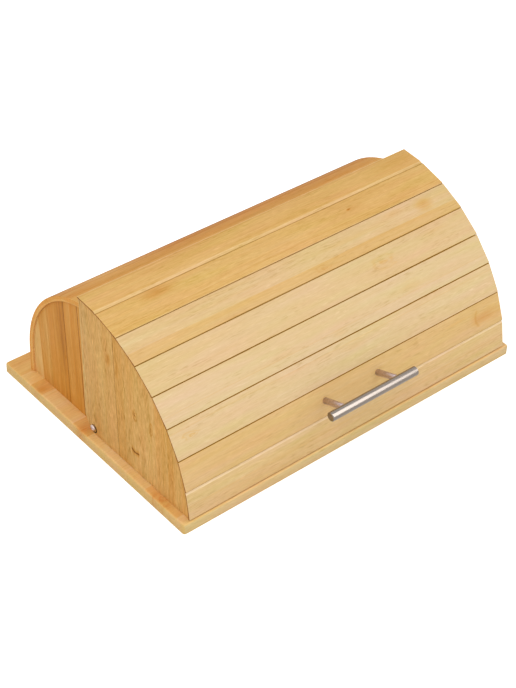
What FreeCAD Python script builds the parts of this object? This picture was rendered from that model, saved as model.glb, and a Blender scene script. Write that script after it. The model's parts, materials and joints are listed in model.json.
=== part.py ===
"""Bamboo bread box: a base board that carries two fixed sides and a bent rear shell,
and a slatted lid that swings up and back on two pivot screws.

Frame: origin at the centre of the base board's underside, +X to the right,
+Y to the rear, +Z up, millimetres.
"""
import FreeCAD, Part
import os
import Sketcher

Vector = FreeCAD.Vector
LEFT, RIGHT = -1, 1
SIDE_NAMES = {LEFT: "left", RIGHT: "right"}
TOLERANCE = 1e-4

# Driving dimensions: alias, value, what it is.
SIZES = [
    # Board, seen from above.
    ("base_thick", 10.4, "thickness of the base board"),
    ("base_side_margin", 7.0, "slat ends to the base board's end"),
    ("base_front_margin", 1.1, "lid's foremost arc to the base board's front edge"),
    ("base_rear_margin", 23.2, "rear shell to the base board's rear edge"),
    ("base_corner_radius", 2.6, "radius of the board's upright corners"),
    ("base_edge_round", 2.4, "radius along the board's upper edges"),
    # Lid arc, slats and sides.
    ("lid_length", 386.0, "length of the lid slats"),
    ("lid_radius", 159.9, "radius through the slats' outer corners"),
    ("lid_centre_drop", 13.4, "lid arc's centre below the board's top"),
    ("lid_rear_reach", 13.6, "rear slat's edge behind the pivot"),
    ("lid_side_reach", 12.2, "lid side's rear edge behind the pivot, at its foot"),
    ("lid_side_lean", 1.7, "lid side's rear edge out of plumb, degrees"),
    ("lid_front_gap", 2.4, "lowest slat's front corner above the board"),
    ("lid_floor_gap", 0.35, "lid sides above the board"),
    ("slat_count", 8, "slats in the lid"),
    ("rear_slat_angle", 8.4, "arc of the trimmed rear slat, degrees"),
    ("front_slat_angle", 10.0, "arc of the trimmed front slat, degrees"),
    ("slat_thick", 4.0, "slat thickness"),
    ("slat_chamfer", 0.8, "bevel along the slats' outer edges"),
    ("slat_lap", 1.8, "slat left over the lid sides' curved edge"),
    ("slat_overhang", 1.2, "slat ends beyond the lid sides"),
    ("lid_side_thick", 4.8, "thickness of a lid side"),
    ("open_angle", 60.0, "how far the lid swings, degrees"),
    # Fixed sides and rear shell.
    ("shell_side_gap", 0.8, "lid side to the end of the rear shell"),
    ("shell_overhang", 2.0, "rear shell beyond the fixed sides"),
    ("shell_thick", 5.0, "thickness of the bent rear shell"),
    ("shell_rise", 27.1, "upright foot of the rear shell, below its arc"),
    ("shell_edge_round", 1.2, "radius along the shell's upper front edge"),
    ("shell_lag", 3.0, "rear shell arc's centre behind the pivot"),
    ("swing_gap", 1.7, "lid to rear shell where they pass closest"),
    ("fixed_side_thick", 9.0, "thickness of a fixed side"),
    ("fixed_side_reach", 26.0, "fixed side in front of the pivot"),
    ("fixed_side_round", 14.0, "radius of the fixed side's upper front corner"),
    # Pivots.
    ("pivot_lead", 18.0, "pivot in front of the lid arc's centre"),
    ("pivot_rise", 6.6, "pivot above the board's top"),
    ("pivot_diameter", 4.0, "pivot screw's shank"),
    ("pivot_play", 0.05, "radial clearance on the pivot screw"),
    ("pivot_head_diameter", 6.6, "pivot screw's head"),
    ("pivot_head_height", 2.2, "height of the pivot screw's head"),
    ("pivot_head_rim", 0.7, "upright rim of the pivot screw's head"),
    ("pivot_end_play", 0.3, "play of the lid side under head and washer"),
    ("hex_socket", 2.5, "socket across flats"),
    ("socket_depth", 1.2, "depth of the screws' sockets"),
    ("insert_diameter", 7.0, "threaded insert"),
    ("insert_length", 8.0, "threaded insert"),
    ("washer_diameter", 11.0, "spacing washer"),
    # Handle.
    ("handle_slat", 7, "slat that carries the handle, counted from the rear"),
    ("bar_length", 103.0, "handle bar"),
    ("bar_diameter", 9.0, "handle bar"),
    ("bar_chamfer", 0.5, "bevel at the bar's ends"),
    ("bar_stand", 30.0, "bar's axis above the slat"),
    ("post_spacing", 64.0, "between the two posts' axes"),
    ("post_diameter", 6.0, "handle post"),
    # Screws.
    ("screw_play", 0.1, "radial clearance round the screws"),
    ("handle_screw_diameter", 4.0, "screw into a handle post"),
    ("handle_screw_grip", 9.0, "screw inside the post"),
    ("handle_head_diameter", 7.4, "handle screw's pan head"),
    ("handle_head_height", 2.2, "handle screw's pan head"),
    ("handle_head_round", 0.7, "radius round the pan head"),
    ("base_screw_count", 3, "screws up into each fixed side"),
    ("base_screw_diameter", 3.4, "wood screw's shank"),
    ("base_screw_length", 30.0, "wood screw"),
    ("base_screw_head", 6.4, "wood screw's countersunk head"),
    ("base_screw_sink", 0.4, "wood screw's head below the underside"),
    ("base_screw_inset", 12.0, "end screws from the fixed side's ends"),
    ("screw_tip", 4.0, "pointed end of a wood screw"),
    ("screw_spare", 1.0, "hole left beyond a screw's end"),
    ("cross_width", 1.1, "arm of a cross recess"),
    ("cross_length", 4.0, "cross recess, end to end"),
]

# Places and sizes that follow from the driving dimensions.
PLACES = [
    # Heights.
    ("lid_centre_z", "Sizes.base_thick - Sizes.lid_centre_drop"),
    ("pivot_z", "Sizes.base_thick + Sizes.pivot_rise"),
    ("shell_centre_z", "Sizes.base_thick + Sizes.shell_rise"),
    ("lid_floor_z", "Sizes.base_thick + Sizes.lid_floor_gap"),
    # Slats: angles lean from the vertical towards the front.
    ("rear_lean", "asin((Sizes.pivot_lead - Sizes.lid_rear_reach) / Sizes.lid_radius) / 1 deg"),
    ("front_lean", "90 - asin((Sizes.lid_centre_drop + Sizes.lid_front_gap)"
                   " / Sizes.lid_radius) / 1 deg"),
    ("slat_angle", "(Places.front_lean - Places.rear_lean - Sizes.rear_slat_angle"
                   " - Sizes.front_slat_angle) / (Sizes.slat_count - 2)"),
    ("slat_face", "Sizes.lid_radius * cos(Places.slat_angle / 2)"),
    ("lid_inner_radius", "Places.slat_face - Sizes.slat_thick"),
    ("lid_side_radius", "Sizes.lid_radius - Sizes.slat_lap"),
    # The shell's radius leaves the swinging lid its gap.
    ("pivot_to_lid_centre", "sqrt(Sizes.pivot_lead ^ 2"
                            " + (Sizes.pivot_rise + Sizes.lid_centre_drop) ^ 2)"),
    ("pivot_to_shell_centre", "sqrt(Sizes.shell_lag ^ 2"
                              " + (Sizes.shell_rise - Sizes.pivot_rise) ^ 2)"),
    ("shell_radius", "Places.lid_inner_radius - Places.pivot_to_lid_centre"
                     " - Places.pivot_to_shell_centre - Sizes.swing_gap"),
    ("shell_inner_radius", "Places.shell_radius - Sizes.shell_thick"),
    # Front to rear.
    ("base_depth", "Sizes.base_front_margin + Sizes.lid_radius - Sizes.pivot_lead"
                   " + Sizes.shell_lag + Places.shell_radius + Sizes.base_rear_margin"),
    ("lid_centre_y", "Sizes.base_front_margin + Sizes.lid_radius - Places.base_depth / 2"),
    ("pivot_y", "Places.lid_centre_y - Sizes.pivot_lead"),
    ("shell_centre_y", "Places.pivot_y + Sizes.shell_lag"),
    ("shell_rear_y", "Places.shell_centre_y + Places.shell_radius"),
    ("fixed_rear_y", "Places.shell_rear_y - Sizes.shell_thick"),
    ("fixed_front_y", "Places.pivot_y - Sizes.fixed_side_reach"),
    ("side_foot_y", "Places.pivot_y + Sizes.lid_side_reach"),
    # Middle to end.
    ("slat_end_x", "Sizes.lid_length / 2"),
    ("lid_side_outer_x", "Places.slat_end_x - Sizes.slat_overhang"),
    ("lid_side_inner_x", "Places.lid_side_outer_x - Sizes.lid_side_thick"),
    ("shell_end_x", "Places.lid_side_inner_x - Sizes.shell_side_gap"),
    ("fixed_outer_x", "Places.shell_end_x - Sizes.shell_overhang"),
    ("fixed_middle_x", "Places.fixed_outer_x - Sizes.fixed_side_thick / 2"),
    ("base_length", "Sizes.lid_length + 2 * Sizes.base_side_margin"),
    # Lid sides: a nose round the pivot, and a cut that lies flat on the board when open.
    ("nose_radius", "Sizes.pivot_rise - Sizes.lid_floor_gap"),
    ("cut_start_y", "Places.pivot_y + Places.nose_radius * sin(Sizes.open_angle)"),
    ("cut_start_z", "Places.pivot_z - Places.nose_radius * cos(Sizes.open_angle)"),
    ("cut_end_z", "Places.cut_start_z"
                  " + (Places.side_foot_y - Places.cut_start_y) * tan(Sizes.open_angle)"),
    # The leaning rear edge meets the curved edge where the two directions from the
    # lid arc's centre agree.
    ("side_edge_offset", "(Places.lid_centre_y - Places.side_foot_y) * cos(Sizes.lid_side_lean)"
                         " + (Places.cut_end_z - Places.lid_centre_z)"
                         " * sin(Sizes.lid_side_lean)"),
    ("side_top_lean", "asin(Places.side_edge_offset / Places.lid_side_radius) / 1 deg"
                      " - Sizes.lid_side_lean"),
    ("side_top_y", "Places.lid_centre_y - Places.lid_side_radius * sin(Places.side_top_lean)"),
    ("side_top_z", "Places.lid_centre_z + Places.lid_side_radius * cos(Places.side_top_lean)"),
    ("lid_side_front_y", "Places.lid_centre_y - sqrt(Places.lid_side_radius ^ 2"
                         " - (Places.lid_floor_z - Places.lid_centre_z) ^ 2)"),
    # Fixed sides end under the shell's arc.
    ("fixed_top_z", "Places.shell_centre_z + sqrt(Places.shell_inner_radius ^ 2"
                    " - (Places.shell_centre_y - Places.fixed_front_y) ^ 2)"),
    # Pivot stack, outwards from a fixed side's outer face.
    ("lid_side_seat", "Sizes.shell_side_gap + Sizes.shell_overhang"),
    ("washer_thick", "Places.lid_side_seat - Sizes.pivot_end_play"),
    ("head_seat", "Places.lid_side_seat + Sizes.lid_side_thick + Sizes.pivot_end_play"),
    ("head_top", "Places.head_seat + Sizes.pivot_head_height"),
    ("pivot_radius", "Sizes.pivot_diameter / 2"),
    ("pivot_hole_radius", "Places.pivot_radius + Sizes.pivot_play"),
    ("dome_height", "Sizes.pivot_head_height - Sizes.pivot_head_rim"),
    ("dome_radius", "((Sizes.pivot_head_diameter / 2) ^ 2 + Places.dome_height ^ 2)"
                    " / (2 * Places.dome_height)"),
    # Wood screws along the fixed sides.
    ("first_screw_y", "Places.fixed_front_y + Sizes.base_screw_inset"),
    ("screw_step", "(Places.fixed_rear_y - Places.fixed_front_y"
                   " - 2 * Sizes.base_screw_inset) / (Sizes.base_screw_count - 1)"),
    # Handle.
    ("bar_height", "Places.slat_face + Sizes.bar_stand"),
]

doc = FreeCAD.newDocument("bread_box")


# ---------------------------------------------------------------- document helpers

def fill_sheet():
    """Put the driving dimensions in the spreadsheet, one alias each."""
    sheet = doc.addObject("Spreadsheet::Sheet", "Sizes")
    for row, (alias, value, note) in enumerate(SIZES, start=1):
        sheet.set(f"A{row}", alias)
        sheet.set(f"B{row}", str(value))
        sheet.set(f"C{row}", note)
        sheet.setAlias(f"B{row}", alias)
    doc.recompute()


def fill_places():
    """Hold the dependent sizes as properties bound to the sheet."""
    places = doc.addObject("App::VarSet", "Places")
    for name, expression in PLACES:
        places.addProperty("App::PropertyFloat", name)
        places.setExpression(name, expression)
        doc.recompute()


def number(expression):
    """Present value of an expression."""
    return float(doc.Places.evalExpression(expression))


def new_body(label, x="0", y="0", z="0", axis=Vector(0, 0, 1), angle="0"):
    """Body whose placement is bound: a place and a turn about one axis."""
    body = doc.addObject("PartDesign::Body", label)
    body.Placement = FreeCAD.Placement(Vector(), FreeCAD.Rotation(axis, 1))
    for name, expression in (("x", x), ("y", y), ("z", z)):
        body.setExpression(f"Placement.Base.{name}", expression)
    body.setExpression("Placement.Rotation.Angle", angle)
    return body


def origin_plane(body, role):
    return next(item for item in body.Origin.OriginFeatures if item.Role == role)


def new_sketch(body, name, role, offset="0"):
    """Sketch on one of the body's origin planes, moved along its normal."""
    sketch = body.newObject("Sketcher::SketchObject", name)
    sketch.AttachmentSupport = [(origin_plane(body, role), "")]
    sketch.MapMode = "FlatFace"
    sketch.setExpression("AttachmentOffset.Base.z", offset)
    return sketch


def bind(sketch, expression, kind, *where):
    """Dimensional constraint that follows an expression."""
    index = sketch.addConstraint(Sketcher.Constraint(kind, *where, number(expression)))
    sketch.setExpression(f"Constraints[{index}]", expression)


def arc_between(start, end, radius):
    """Arc of less than half a turn; a negative radius bends it inwards."""
    chord = end - start
    middle = (start + end) / 2
    height = (radius ** 2 - chord.Length ** 2 / 4) ** 0.5
    across = Vector(-chord.y, chord.x, 0).normalize()
    centre = middle + across * (height if radius > 0 else -height)
    top = centre + (middle - centre).normalize() * abs(radius)
    return Part.Arc(start, top, end)


def add_outline(sketch, corners):
    """Closed outline, counter-clockwise. A corner is two expressions, and a third
    gives the radius of an arc from there to the next corner, negative if hollow."""
    points = [Vector(number(corner[0]), number(corner[1]), 0) for corner in corners]
    ends = []
    for index, corner in enumerate(corners):
        start, end = points[index], points[(index + 1) % len(points)]
        if len(corner) == 2:
            item = sketch.addGeometry(Part.LineSegment(start, end))
            ends.append((item, 1, 2))
            continue
        radius = number(corner[2])
        item = sketch.addGeometry(arc_between(start, end, radius))
        ends.append((item, 1, 2) if radius > 0 else (item, 2, 1))
    for index, corner in enumerate(corners):
        item, first, last = ends[index]
        following, next_first, _ = ends[(index + 1) % len(ends)]
        sketch.addConstraint(
            Sketcher.Constraint("Coincident", item, last, following, next_first))
        bind(sketch, corner[0], "DistanceX", -1, 1, item, first)
        bind(sketch, corner[1], "DistanceY", -1, 1, item, first)
        if len(corner) == 3:
            bind(sketch, f"abs({corner[2]})", "Radius", item)


def add_circle(sketch, across, up, radius):
    centre = Vector(number(across), number(up), 0)
    item = sketch.addGeometry(Part.Circle(centre, Vector(0, 0, 1), number(radius)))
    bind(sketch, across, "DistanceX", -1, 1, item, 3)
    bind(sketch, up, "DistanceY", -1, 1, item, 3)
    bind(sketch, radius, "Radius", item)


def add_pad(body, sketch, length, midplane=False, reverse=False):
    pad = body.newObject("PartDesign::Pad", f"{body.Name}_pad")
    pad.Profile = sketch
    pad.setExpression("Length", length)
    pad.Midplane = midplane
    pad.Reversed = reverse
    doc.recompute()
    return pad


def add_pocket(body, sketch, length=None, midplane=False, reverse=False):
    """Pocket of a depth, or through everything; it has to remove material."""
    before = body.Shape.Volume
    pocket = body.newObject("PartDesign::Pocket", f"{body.Name}_pocket")
    pocket.Profile = sketch
    pocket.Midplane = midplane
    pocket.Reversed = reverse
    if length:
        pocket.setExpression("Length", length)
    else:
        pocket.Type = "ThroughAll"
    doc.recompute()
    if not body.Shape.Volume < before:
        raise ValueError(f"{pocket.Name} removes nothing")
    return pocket


def mirror_left_right(body, feature):
    mirrored = body.newObject("PartDesign::Mirrored", f"{feature.Name}_mirrored")
    mirrored.Originals = [feature]
    mirrored.MirrorPlane = (origin_plane(body, "YZ_Plane"), [""])
    body.Tip = mirrored
    doc.recompute()


def dress(body, kind, picked, **size):
    """Fillet or Chamfer on the edges that the picker accepts."""
    base = body.Tip
    edges = [f"Edge{index}" for index, edge in enumerate(base.Shape.Edges, start=1)
             if picked(edge)]
    feature = body.newObject(f"PartDesign::{kind}", f"{body.Name}_{kind.lower()}")
    feature.Base = (base, edges)
    for name, expression in size.items():
        feature.setExpression(name, expression)
    doc.recompute()


def turned_body(label, corners, **placing):
    """Round piece: corners are radius and height, turned about the body's Z axis."""
    body = new_body(label, **placing)
    sketch = new_sketch(body, f"{label}_section", "XZ_Plane")
    add_outline(sketch, corners)
    turned = body.newObject("PartDesign::Revolution", f"{label}_turned")
    turned.Profile = sketch
    turned.ReferenceAxis = (sketch, ["V_Axis"])
    turned.Angle = 360
    doc.recompute()
    return body


def hexagon(flats):
    """Corners of a hexagon, by its size across flats."""
    return [(f"{flats} / sqrt(3) * cos({turn})", f"{flats} / sqrt(3) * sin({turn})")
            for turn in range(0, 360, 60)]


def cross(length, width):
    """Corners of a cross recess."""
    long, short = f"{length} / 2", f"{width} / 2"
    quarter = [(long, short), (short, short), (short, long)]
    corners = []
    for _ in range(4):
        corners += quarter
        quarter = [(f"-({up})", across) for across, up in quarter]
    return corners


def edge_middle(edge):
    return edge.valueAt((edge.FirstParameter + edge.LastParameter) / 2)


def is_near(value, expression):
    return abs(value - number(expression)) < TOLERANCE


# ---------------------------------------------------------------- box

def make_base_board():
    """Solid board with rounded corners and countersunk holes for the sides' screws."""
    body = new_body("base_board")
    outline = new_sketch(body, "base_outline", "XY_Plane")
    half_length, half_depth = "Places.base_length / 2", "Places.base_depth / 2"
    add_outline(outline, [
        (f"-{half_length}", f"-{half_depth}"),
        (half_length, f"-{half_depth}"),
        (half_length, half_depth),
        (f"-{half_length}", half_depth),
    ])
    add_pad(body, outline, "Sizes.base_thick")
    dress(body, "Fillet", lambda edge: abs(edge.tangentAt(edge.FirstParameter).z) > 0.9,
          Radius="Sizes.base_corner_radius")
    dress(body, "Fillet", lambda edge: is_near(edge_middle(edge).z, "Sizes.base_thick"),
          Radius="Sizes.base_edge_round")

    holes = new_sketch(body, "base_holes", "XY_Plane")
    for side in SIDE_NAMES:
        for index in range(int(number("Sizes.base_screw_count"))):
            add_circle(holes, f"{side} * Places.fixed_middle_x",
                       f"Places.first_screw_y + {index} * Places.screw_step",
                       "Sizes.base_screw_diameter / 2 + Sizes.screw_play")
    doc.recompute()
    before = body.Shape.Volume
    drilled = body.newObject("PartDesign::Hole", "base_drilled")
    drilled.Profile = holes
    doc.recompute()
    drilled.Reversed = True
    drilled.DepthType = "ThroughAll"
    drilled.setExpression("Diameter", "Sizes.base_screw_diameter + 2 * Sizes.screw_play")
    drilled.HoleCutType = "Countersink"
    drilled.HoleCutCustomValues = True
    drilled.HoleCutCountersinkAngle = 90
    drilled.setExpression("HoleCutDiameter",
                          "Sizes.base_screw_head + 2 * Sizes.base_screw_sink"
                          " + 2 * Sizes.screw_play")
    doc.recompute()
    if not body.Shape.Volume < before:
        raise ValueError("the base board's holes remove nothing")
    return body


def make_base_screw(side, index):
    """Countersunk wood screw from under the base board into a fixed side."""
    head_radius, shank_radius = "Sizes.base_screw_head / 2", "Sizes.base_screw_diameter / 2"
    cone_end = f"Sizes.base_screw_sink + {head_radius} - {shank_radius}"
    body = turned_body(
        f"base_screw_{SIDE_NAMES[side]}_{index + 1}",
        [
            ("0", "Sizes.base_screw_sink"),
            (head_radius, "Sizes.base_screw_sink"),
            (shank_radius, cone_end),
            (shank_radius, "Sizes.base_screw_length - Sizes.screw_tip"),
            ("0", "Sizes.base_screw_length"),
        ],
        x=f"{side} * Places.fixed_middle_x",
        y=f"Places.first_screw_y + {index} * Places.screw_step")
    recess = new_sketch(body, "recess", "XY_Plane", "Sizes.base_screw_sink")
    add_outline(recess, cross("Sizes.cross_length", "Sizes.cross_width"))
    add_pocket(body, recess, "Sizes.socket_depth", reverse=True)
    return body


def make_fixed_side(side):
    """Upright side under the shell, with the insert's hole and the screws' pilots."""
    label = f"fixed_side_{SIDE_NAMES[side]}"
    body = new_body(label)
    outline = new_sketch(body, f"{label}_outline", "YZ_Plane",
                         f"{side} * Places.fixed_outer_x")
    add_outline(outline, [
        ("Places.fixed_front_y", "Sizes.base_thick"),
        ("Places.fixed_rear_y", "Sizes.base_thick"),
        ("Places.fixed_rear_y", "Places.shell_centre_z", "Places.shell_inner_radius"),
        ("Places.fixed_front_y", "Places.fixed_top_z"),
    ])
    add_pad(body, outline, "Sizes.fixed_side_thick", reverse=side == RIGHT)
    dress(body, "Fillet",
          lambda edge: is_near(edge_middle(edge).y, "Places.fixed_front_y")
          and is_near(edge_middle(edge).z, "Places.fixed_top_z"),
          Radius="Sizes.fixed_side_round")

    hole = new_sketch(body, f"{label}_insert_hole", "YZ_Plane",
                      f"{side} * Places.fixed_outer_x")
    add_circle(hole, "Places.pivot_y", "Places.pivot_z", "Sizes.insert_diameter / 2")
    add_pocket(body, hole, "Sizes.insert_length", reverse=side == LEFT)

    pilots = new_sketch(body, f"{label}_pilots", "XY_Plane", "Sizes.base_thick")
    for index in range(int(number("Sizes.base_screw_count"))):
        add_circle(pilots, f"{side} * Places.fixed_middle_x",
                   f"Places.first_screw_y + {index} * Places.screw_step",
                   "Sizes.base_screw_diameter / 2 + Sizes.screw_play")
    add_pocket(body, pilots, "Sizes.base_screw_length - Sizes.base_thick + Sizes.screw_spare",
               reverse=True)
    return body


def make_rear_shell():
    """Bent panel: an upright foot, then a quarter round up and forward over the sides."""
    body = new_body("rear_shell")
    section = new_sketch(body, "shell_section", "YZ_Plane")
    top = "Places.shell_centre_z + Places.shell_radius"
    add_outline(section, [
        ("Places.fixed_rear_y", "Sizes.base_thick"),
        ("Places.shell_rear_y", "Sizes.base_thick"),
        ("Places.shell_rear_y", "Places.shell_centre_z", "Places.shell_radius"),
        ("Places.shell_centre_y", top),
        ("Places.shell_centre_y", f"{top} - Sizes.shell_thick", "-Places.shell_inner_radius"),
        ("Places.fixed_rear_y", "Places.shell_centre_z"),
    ])
    add_pad(body, section, "2 * Places.shell_end_x", midplane=True)
    dress(body, "Fillet",
          lambda edge: is_near(edge_middle(edge).y, "Places.shell_centre_y")
          and is_near(edge_middle(edge).z, top),
          Radius="Sizes.shell_edge_round")
    return body


# ---------------------------------------------------------------- pivots

def pivot_placing(side):
    """Local Z points outwards from the fixed side's outer face, on the pivot axis."""
    return {
        "x": f"{side} * Places.fixed_outer_x",
        "y": "Places.pivot_y",
        "z": "Places.pivot_z",
        "axis": Vector(0, side, 0),
        "angle": "90",
    }


def make_pivot_insert(side):
    """Threaded brass insert, pressed into the fixed side."""
    bore, rim = "Places.pivot_hole_radius", "Sizes.insert_diameter / 2"
    return turned_body(
        f"pivot_insert_{SIDE_NAMES[side]}",
        [
            (bore, "-Sizes.insert_length"),
            (rim, "-Sizes.insert_length"),
            (rim, "0"),
            (bore, "0"),
        ],
        **pivot_placing(side))


def make_pivot_washer(side):
    """Washer that keeps the lid side off the fixed side."""
    bore, rim = "Places.pivot_hole_radius", "Sizes.washer_diameter / 2"
    return turned_body(
        f"pivot_washer_{SIDE_NAMES[side]}",
        [
            (bore, "0"),
            (rim, "0"),
            (rim, "Places.washer_thick"),
            (bore, "Places.washer_thick"),
        ],
        **pivot_placing(side))


def make_pivot_screw(side):
    """Domed screw whose plain shank is the lid's pivot."""
    head_radius = "Sizes.pivot_head_diameter / 2"
    body = turned_body(
        f"pivot_screw_{SIDE_NAMES[side]}",
        [
            ("0", "Sizes.pivot_end_play - Sizes.insert_length"),
            ("Places.pivot_radius", "Sizes.pivot_end_play - Sizes.insert_length"),
            ("Places.pivot_radius", "Places.head_seat"),
            (head_radius, "Places.head_seat"),
            (head_radius, "Places.head_seat + Sizes.pivot_head_rim", "Places.dome_radius"),
            ("0", "Places.head_top"),
        ],
        **pivot_placing(side))
    socket = new_sketch(body, "socket", "XY_Plane", "Places.head_top")
    add_outline(socket, hexagon("Sizes.hex_socket"))
    add_pocket(body, socket, "Sizes.socket_depth")
    return body


# ---------------------------------------------------------------- lid

def make_lid_side(side):
    """Thin side that the slats lap over; its nose turns on the pivot screw."""
    label = f"lid_side_{SIDE_NAMES[side]}"
    body = new_body(label)
    outline = new_sketch(body, f"{label}_outline", "YZ_Plane",
                         f"{side} * Places.lid_side_outer_x")
    add_outline(outline, [
        ("Places.lid_side_front_y", "Places.lid_floor_z"),
        ("Places.pivot_y", "Places.lid_floor_z", "Places.nose_radius"),
        ("Places.cut_start_y", "Places.cut_start_z"),
        ("Places.side_foot_y", "Places.cut_end_z"),
        ("Places.side_top_y", "Places.side_top_z", "Places.lid_side_radius"),
    ])
    add_pad(body, outline, "Sizes.lid_side_thick", reverse=side == RIGHT)
    hole = new_sketch(body, f"{label}_pivot_hole", "YZ_Plane")
    add_circle(hole, "Places.pivot_y", "Places.pivot_z", "Places.pivot_hole_radius")
    add_pocket(body, hole, reverse=side == RIGHT)
    return body


def lid_placing(lean):
    """Local origin at the lid arc's centre, local Z along the arc's radius at a lean."""
    return {
        "y": "Places.lid_centre_y",
        "z": "Places.lid_centre_z",
        "axis": Vector(1, 0, 0),
        "angle": lean,
    }


def slat_lean(index):
    """Lean of the middle of slat 1, 2, 3... counted from the rear."""
    if index == 1:
        return "Places.rear_lean + Sizes.rear_slat_angle / 2"
    if index == int(number("Sizes.slat_count")):
        return "Places.front_lean - Sizes.front_slat_angle / 2"
    return f"Places.rear_lean + Sizes.rear_slat_angle + ({index} - 1.5) * Places.slat_angle"


def slat_width_angle(index):
    if index == 1:
        return "Sizes.rear_slat_angle"
    if index == int(number("Sizes.slat_count")):
        return "Sizes.front_slat_angle"
    return "Places.slat_angle"


def make_slat(index):
    """Flat bevelled slat with mitred edges; its ends are cut back to lap over the sides."""
    label = f"lid_slat_{index}"
    body = new_body(label, **lid_placing(slat_lean(index)))
    half = f"({slat_width_angle(index)} / 2)"
    radius, bevel = "Sizes.lid_radius", "Sizes.slat_chamfer"
    face = f"{radius} * cos{half}"
    inner = f"({face} - Sizes.slat_thick)"
    edge_y, edge_z = f"({radius} - {bevel}) * sin{half}", f"({radius} - {bevel}) * cos{half}"
    face_y = f"({radius} * sin{half} - {bevel})"
    section = new_sketch(body, f"{label}_section", "YZ_Plane")
    add_outline(section, [
        (f"-{inner} * tan{half}", inner),
        (f"{inner} * tan{half}", inner),
        (edge_y, edge_z),
        (face_y, face),
        (f"-{face_y}", face),
        (f"-{edge_y}", edge_z),
    ])
    add_pad(body, section, "Sizes.lid_length", midplane=True)
    seat = new_sketch(body, f"{label}_seat", "YZ_Plane", "Places.lid_side_inner_x")
    add_circle(seat, "0", "0", "Places.lid_side_radius")
    mirror_left_right(body, add_pocket(body, seat, reverse=True))
    return body


def drill_handle_slat(body):
    """Clearance holes for the two handle screws."""
    holes = new_sketch(body, "handle_holes", "XY_Plane", "Places.bar_height")
    for side in SIDE_NAMES:
        add_circle(holes, f"{side} * Sizes.post_spacing / 2", "0",
                   "Sizes.handle_screw_diameter / 2 + Sizes.screw_play")
    add_pocket(body, holes)


# ---------------------------------------------------------------- handle

def handle_placing():
    return lid_placing(slat_lean(int(number("Sizes.handle_slat"))))


def make_handle_bar():
    """Round bar across the front of the lid."""
    body = new_body("handle_bar", **handle_placing())
    section = new_sketch(body, "bar_section", "YZ_Plane")
    add_circle(section, "0", "Places.bar_height", "Sizes.bar_diameter / 2")
    add_pad(body, section, "Sizes.bar_length", midplane=True)
    dress(body, "Chamfer", lambda edge: edge.isClosed(), Size="Sizes.bar_chamfer")
    return body


def make_handle_post(side):
    """Round post, hollowed at the top to fit the bar and drilled for its screw."""
    label = f"handle_post_{SIDE_NAMES[side]}"
    body = new_body(label, **handle_placing())
    axis_x = f"{side} * Sizes.post_spacing / 2"
    foot = new_sketch(body, f"{label}_foot", "XY_Plane", "Places.slat_face")
    add_circle(foot, axis_x, "0", "Sizes.post_diameter / 2")
    add_pad(body, foot, "Sizes.bar_stand")
    saddle = new_sketch(body, f"{label}_saddle", "YZ_Plane")
    add_circle(saddle, "0", "Places.bar_height", "Sizes.bar_diameter / 2")
    add_pocket(body, saddle, midplane=True)
    hole = new_sketch(body, f"{label}_hole", "XY_Plane", "Places.slat_face")
    add_circle(hole, axis_x, "0", "Sizes.handle_screw_diameter / 2 + Sizes.screw_play")
    add_pocket(body, hole, "Sizes.handle_screw_grip + Sizes.screw_spare", reverse=True)
    return body


def make_handle_screw(side):
    """Pan-head screw from inside the lid, through the slat and into a post."""
    shank, head = "Sizes.handle_screw_diameter / 2", "Sizes.handle_head_diameter / 2"
    label = f"handle_screw_{SIDE_NAMES[side]}"
    body = new_body(label, **handle_placing())
    axis_x = f"{side} * Sizes.post_spacing / 2"
    head_disc = new_sketch(body, f"{label}_head", "XY_Plane", "Places.lid_inner_radius")
    add_circle(head_disc, axis_x, "0", head)
    add_pad(body, head_disc, "Sizes.handle_head_height", reverse=True)
    dress(body, "Fillet",
          lambda edge: is_near(edge.BoundBox.ZMax,
                               "Places.lid_inner_radius - Sizes.handle_head_height"),
          Radius="Sizes.handle_head_round")
    stem = new_sketch(body, f"{label}_stem", "XY_Plane", "Places.lid_inner_radius")
    add_circle(stem, axis_x, "0", shank)
    add_pad(body, stem, "Sizes.slat_thick + Sizes.handle_screw_grip")
    recess = new_sketch(body, f"{label}_recess", "XY_Plane",
                        "Places.lid_inner_radius - Sizes.handle_head_height")
    add_outline(recess, [(f"{axis_x} + {across}", up) for across, up
                         in cross("Sizes.cross_length", "Sizes.cross_width")])
    add_pocket(body, recess, "Sizes.socket_depth", reverse=True)
    return body


# ---------------------------------------------------------------- whole part

def make_all():
    bodies = [make_base_board(), make_rear_shell(), make_handle_bar()]
    for side in SIDE_NAMES:
        bodies += [
            make_fixed_side(side),
            make_pivot_insert(side),
            make_pivot_washer(side),
            make_pivot_screw(side),
            make_lid_side(side),
            make_handle_post(side),
            make_handle_screw(side),
        ]
        for index in range(int(number("Sizes.base_screw_count"))):
            bodies.append(make_base_screw(side, index))
    for index in range(1, int(number("Sizes.slat_count")) + 1):
        slat = make_slat(index)
        if index == int(number("Sizes.handle_slat")):
            drill_handle_slat(slat)
        bodies.append(slat)
    doc.recompute()
    return bodies


def check(bodies):
    """Stop if any object of the document failed or any piece isn't one good solid."""
    for item in doc.Objects:
        if "Invalid" in item.State or "Error" in item.State:
            raise ValueError(f"{item.Name} is in state {item.State}")
    for body in bodies:
        shape = body.Shape
        if shape.isNull() or not shape.isValid() or len(shape.Solids) != 1:
            raise ValueError(f"{body.Label} isn't one valid solid")


def export(bodies):
    os.makedirs("parts", exist_ok=True)
    for body in bodies:
        body.Shape.exportStep(f"parts/{body.Label}.step")
        print(f"{body.Label}: {body.Shape.Volume / 1000:.2f} cm3")


fill_sheet()
fill_places()
pieces = make_all()
check(pieces)
export(pieces)
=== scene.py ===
"""Finish of a bamboo bread box: its boards, slatted lid, pivots and handle.

Lengths are in metres and the frame is the part's own: origin at the centre of the base
board's underside, +X to the right, +Y to the rear, +Z up. The lid turns about X.
"""
import json
import math

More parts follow.
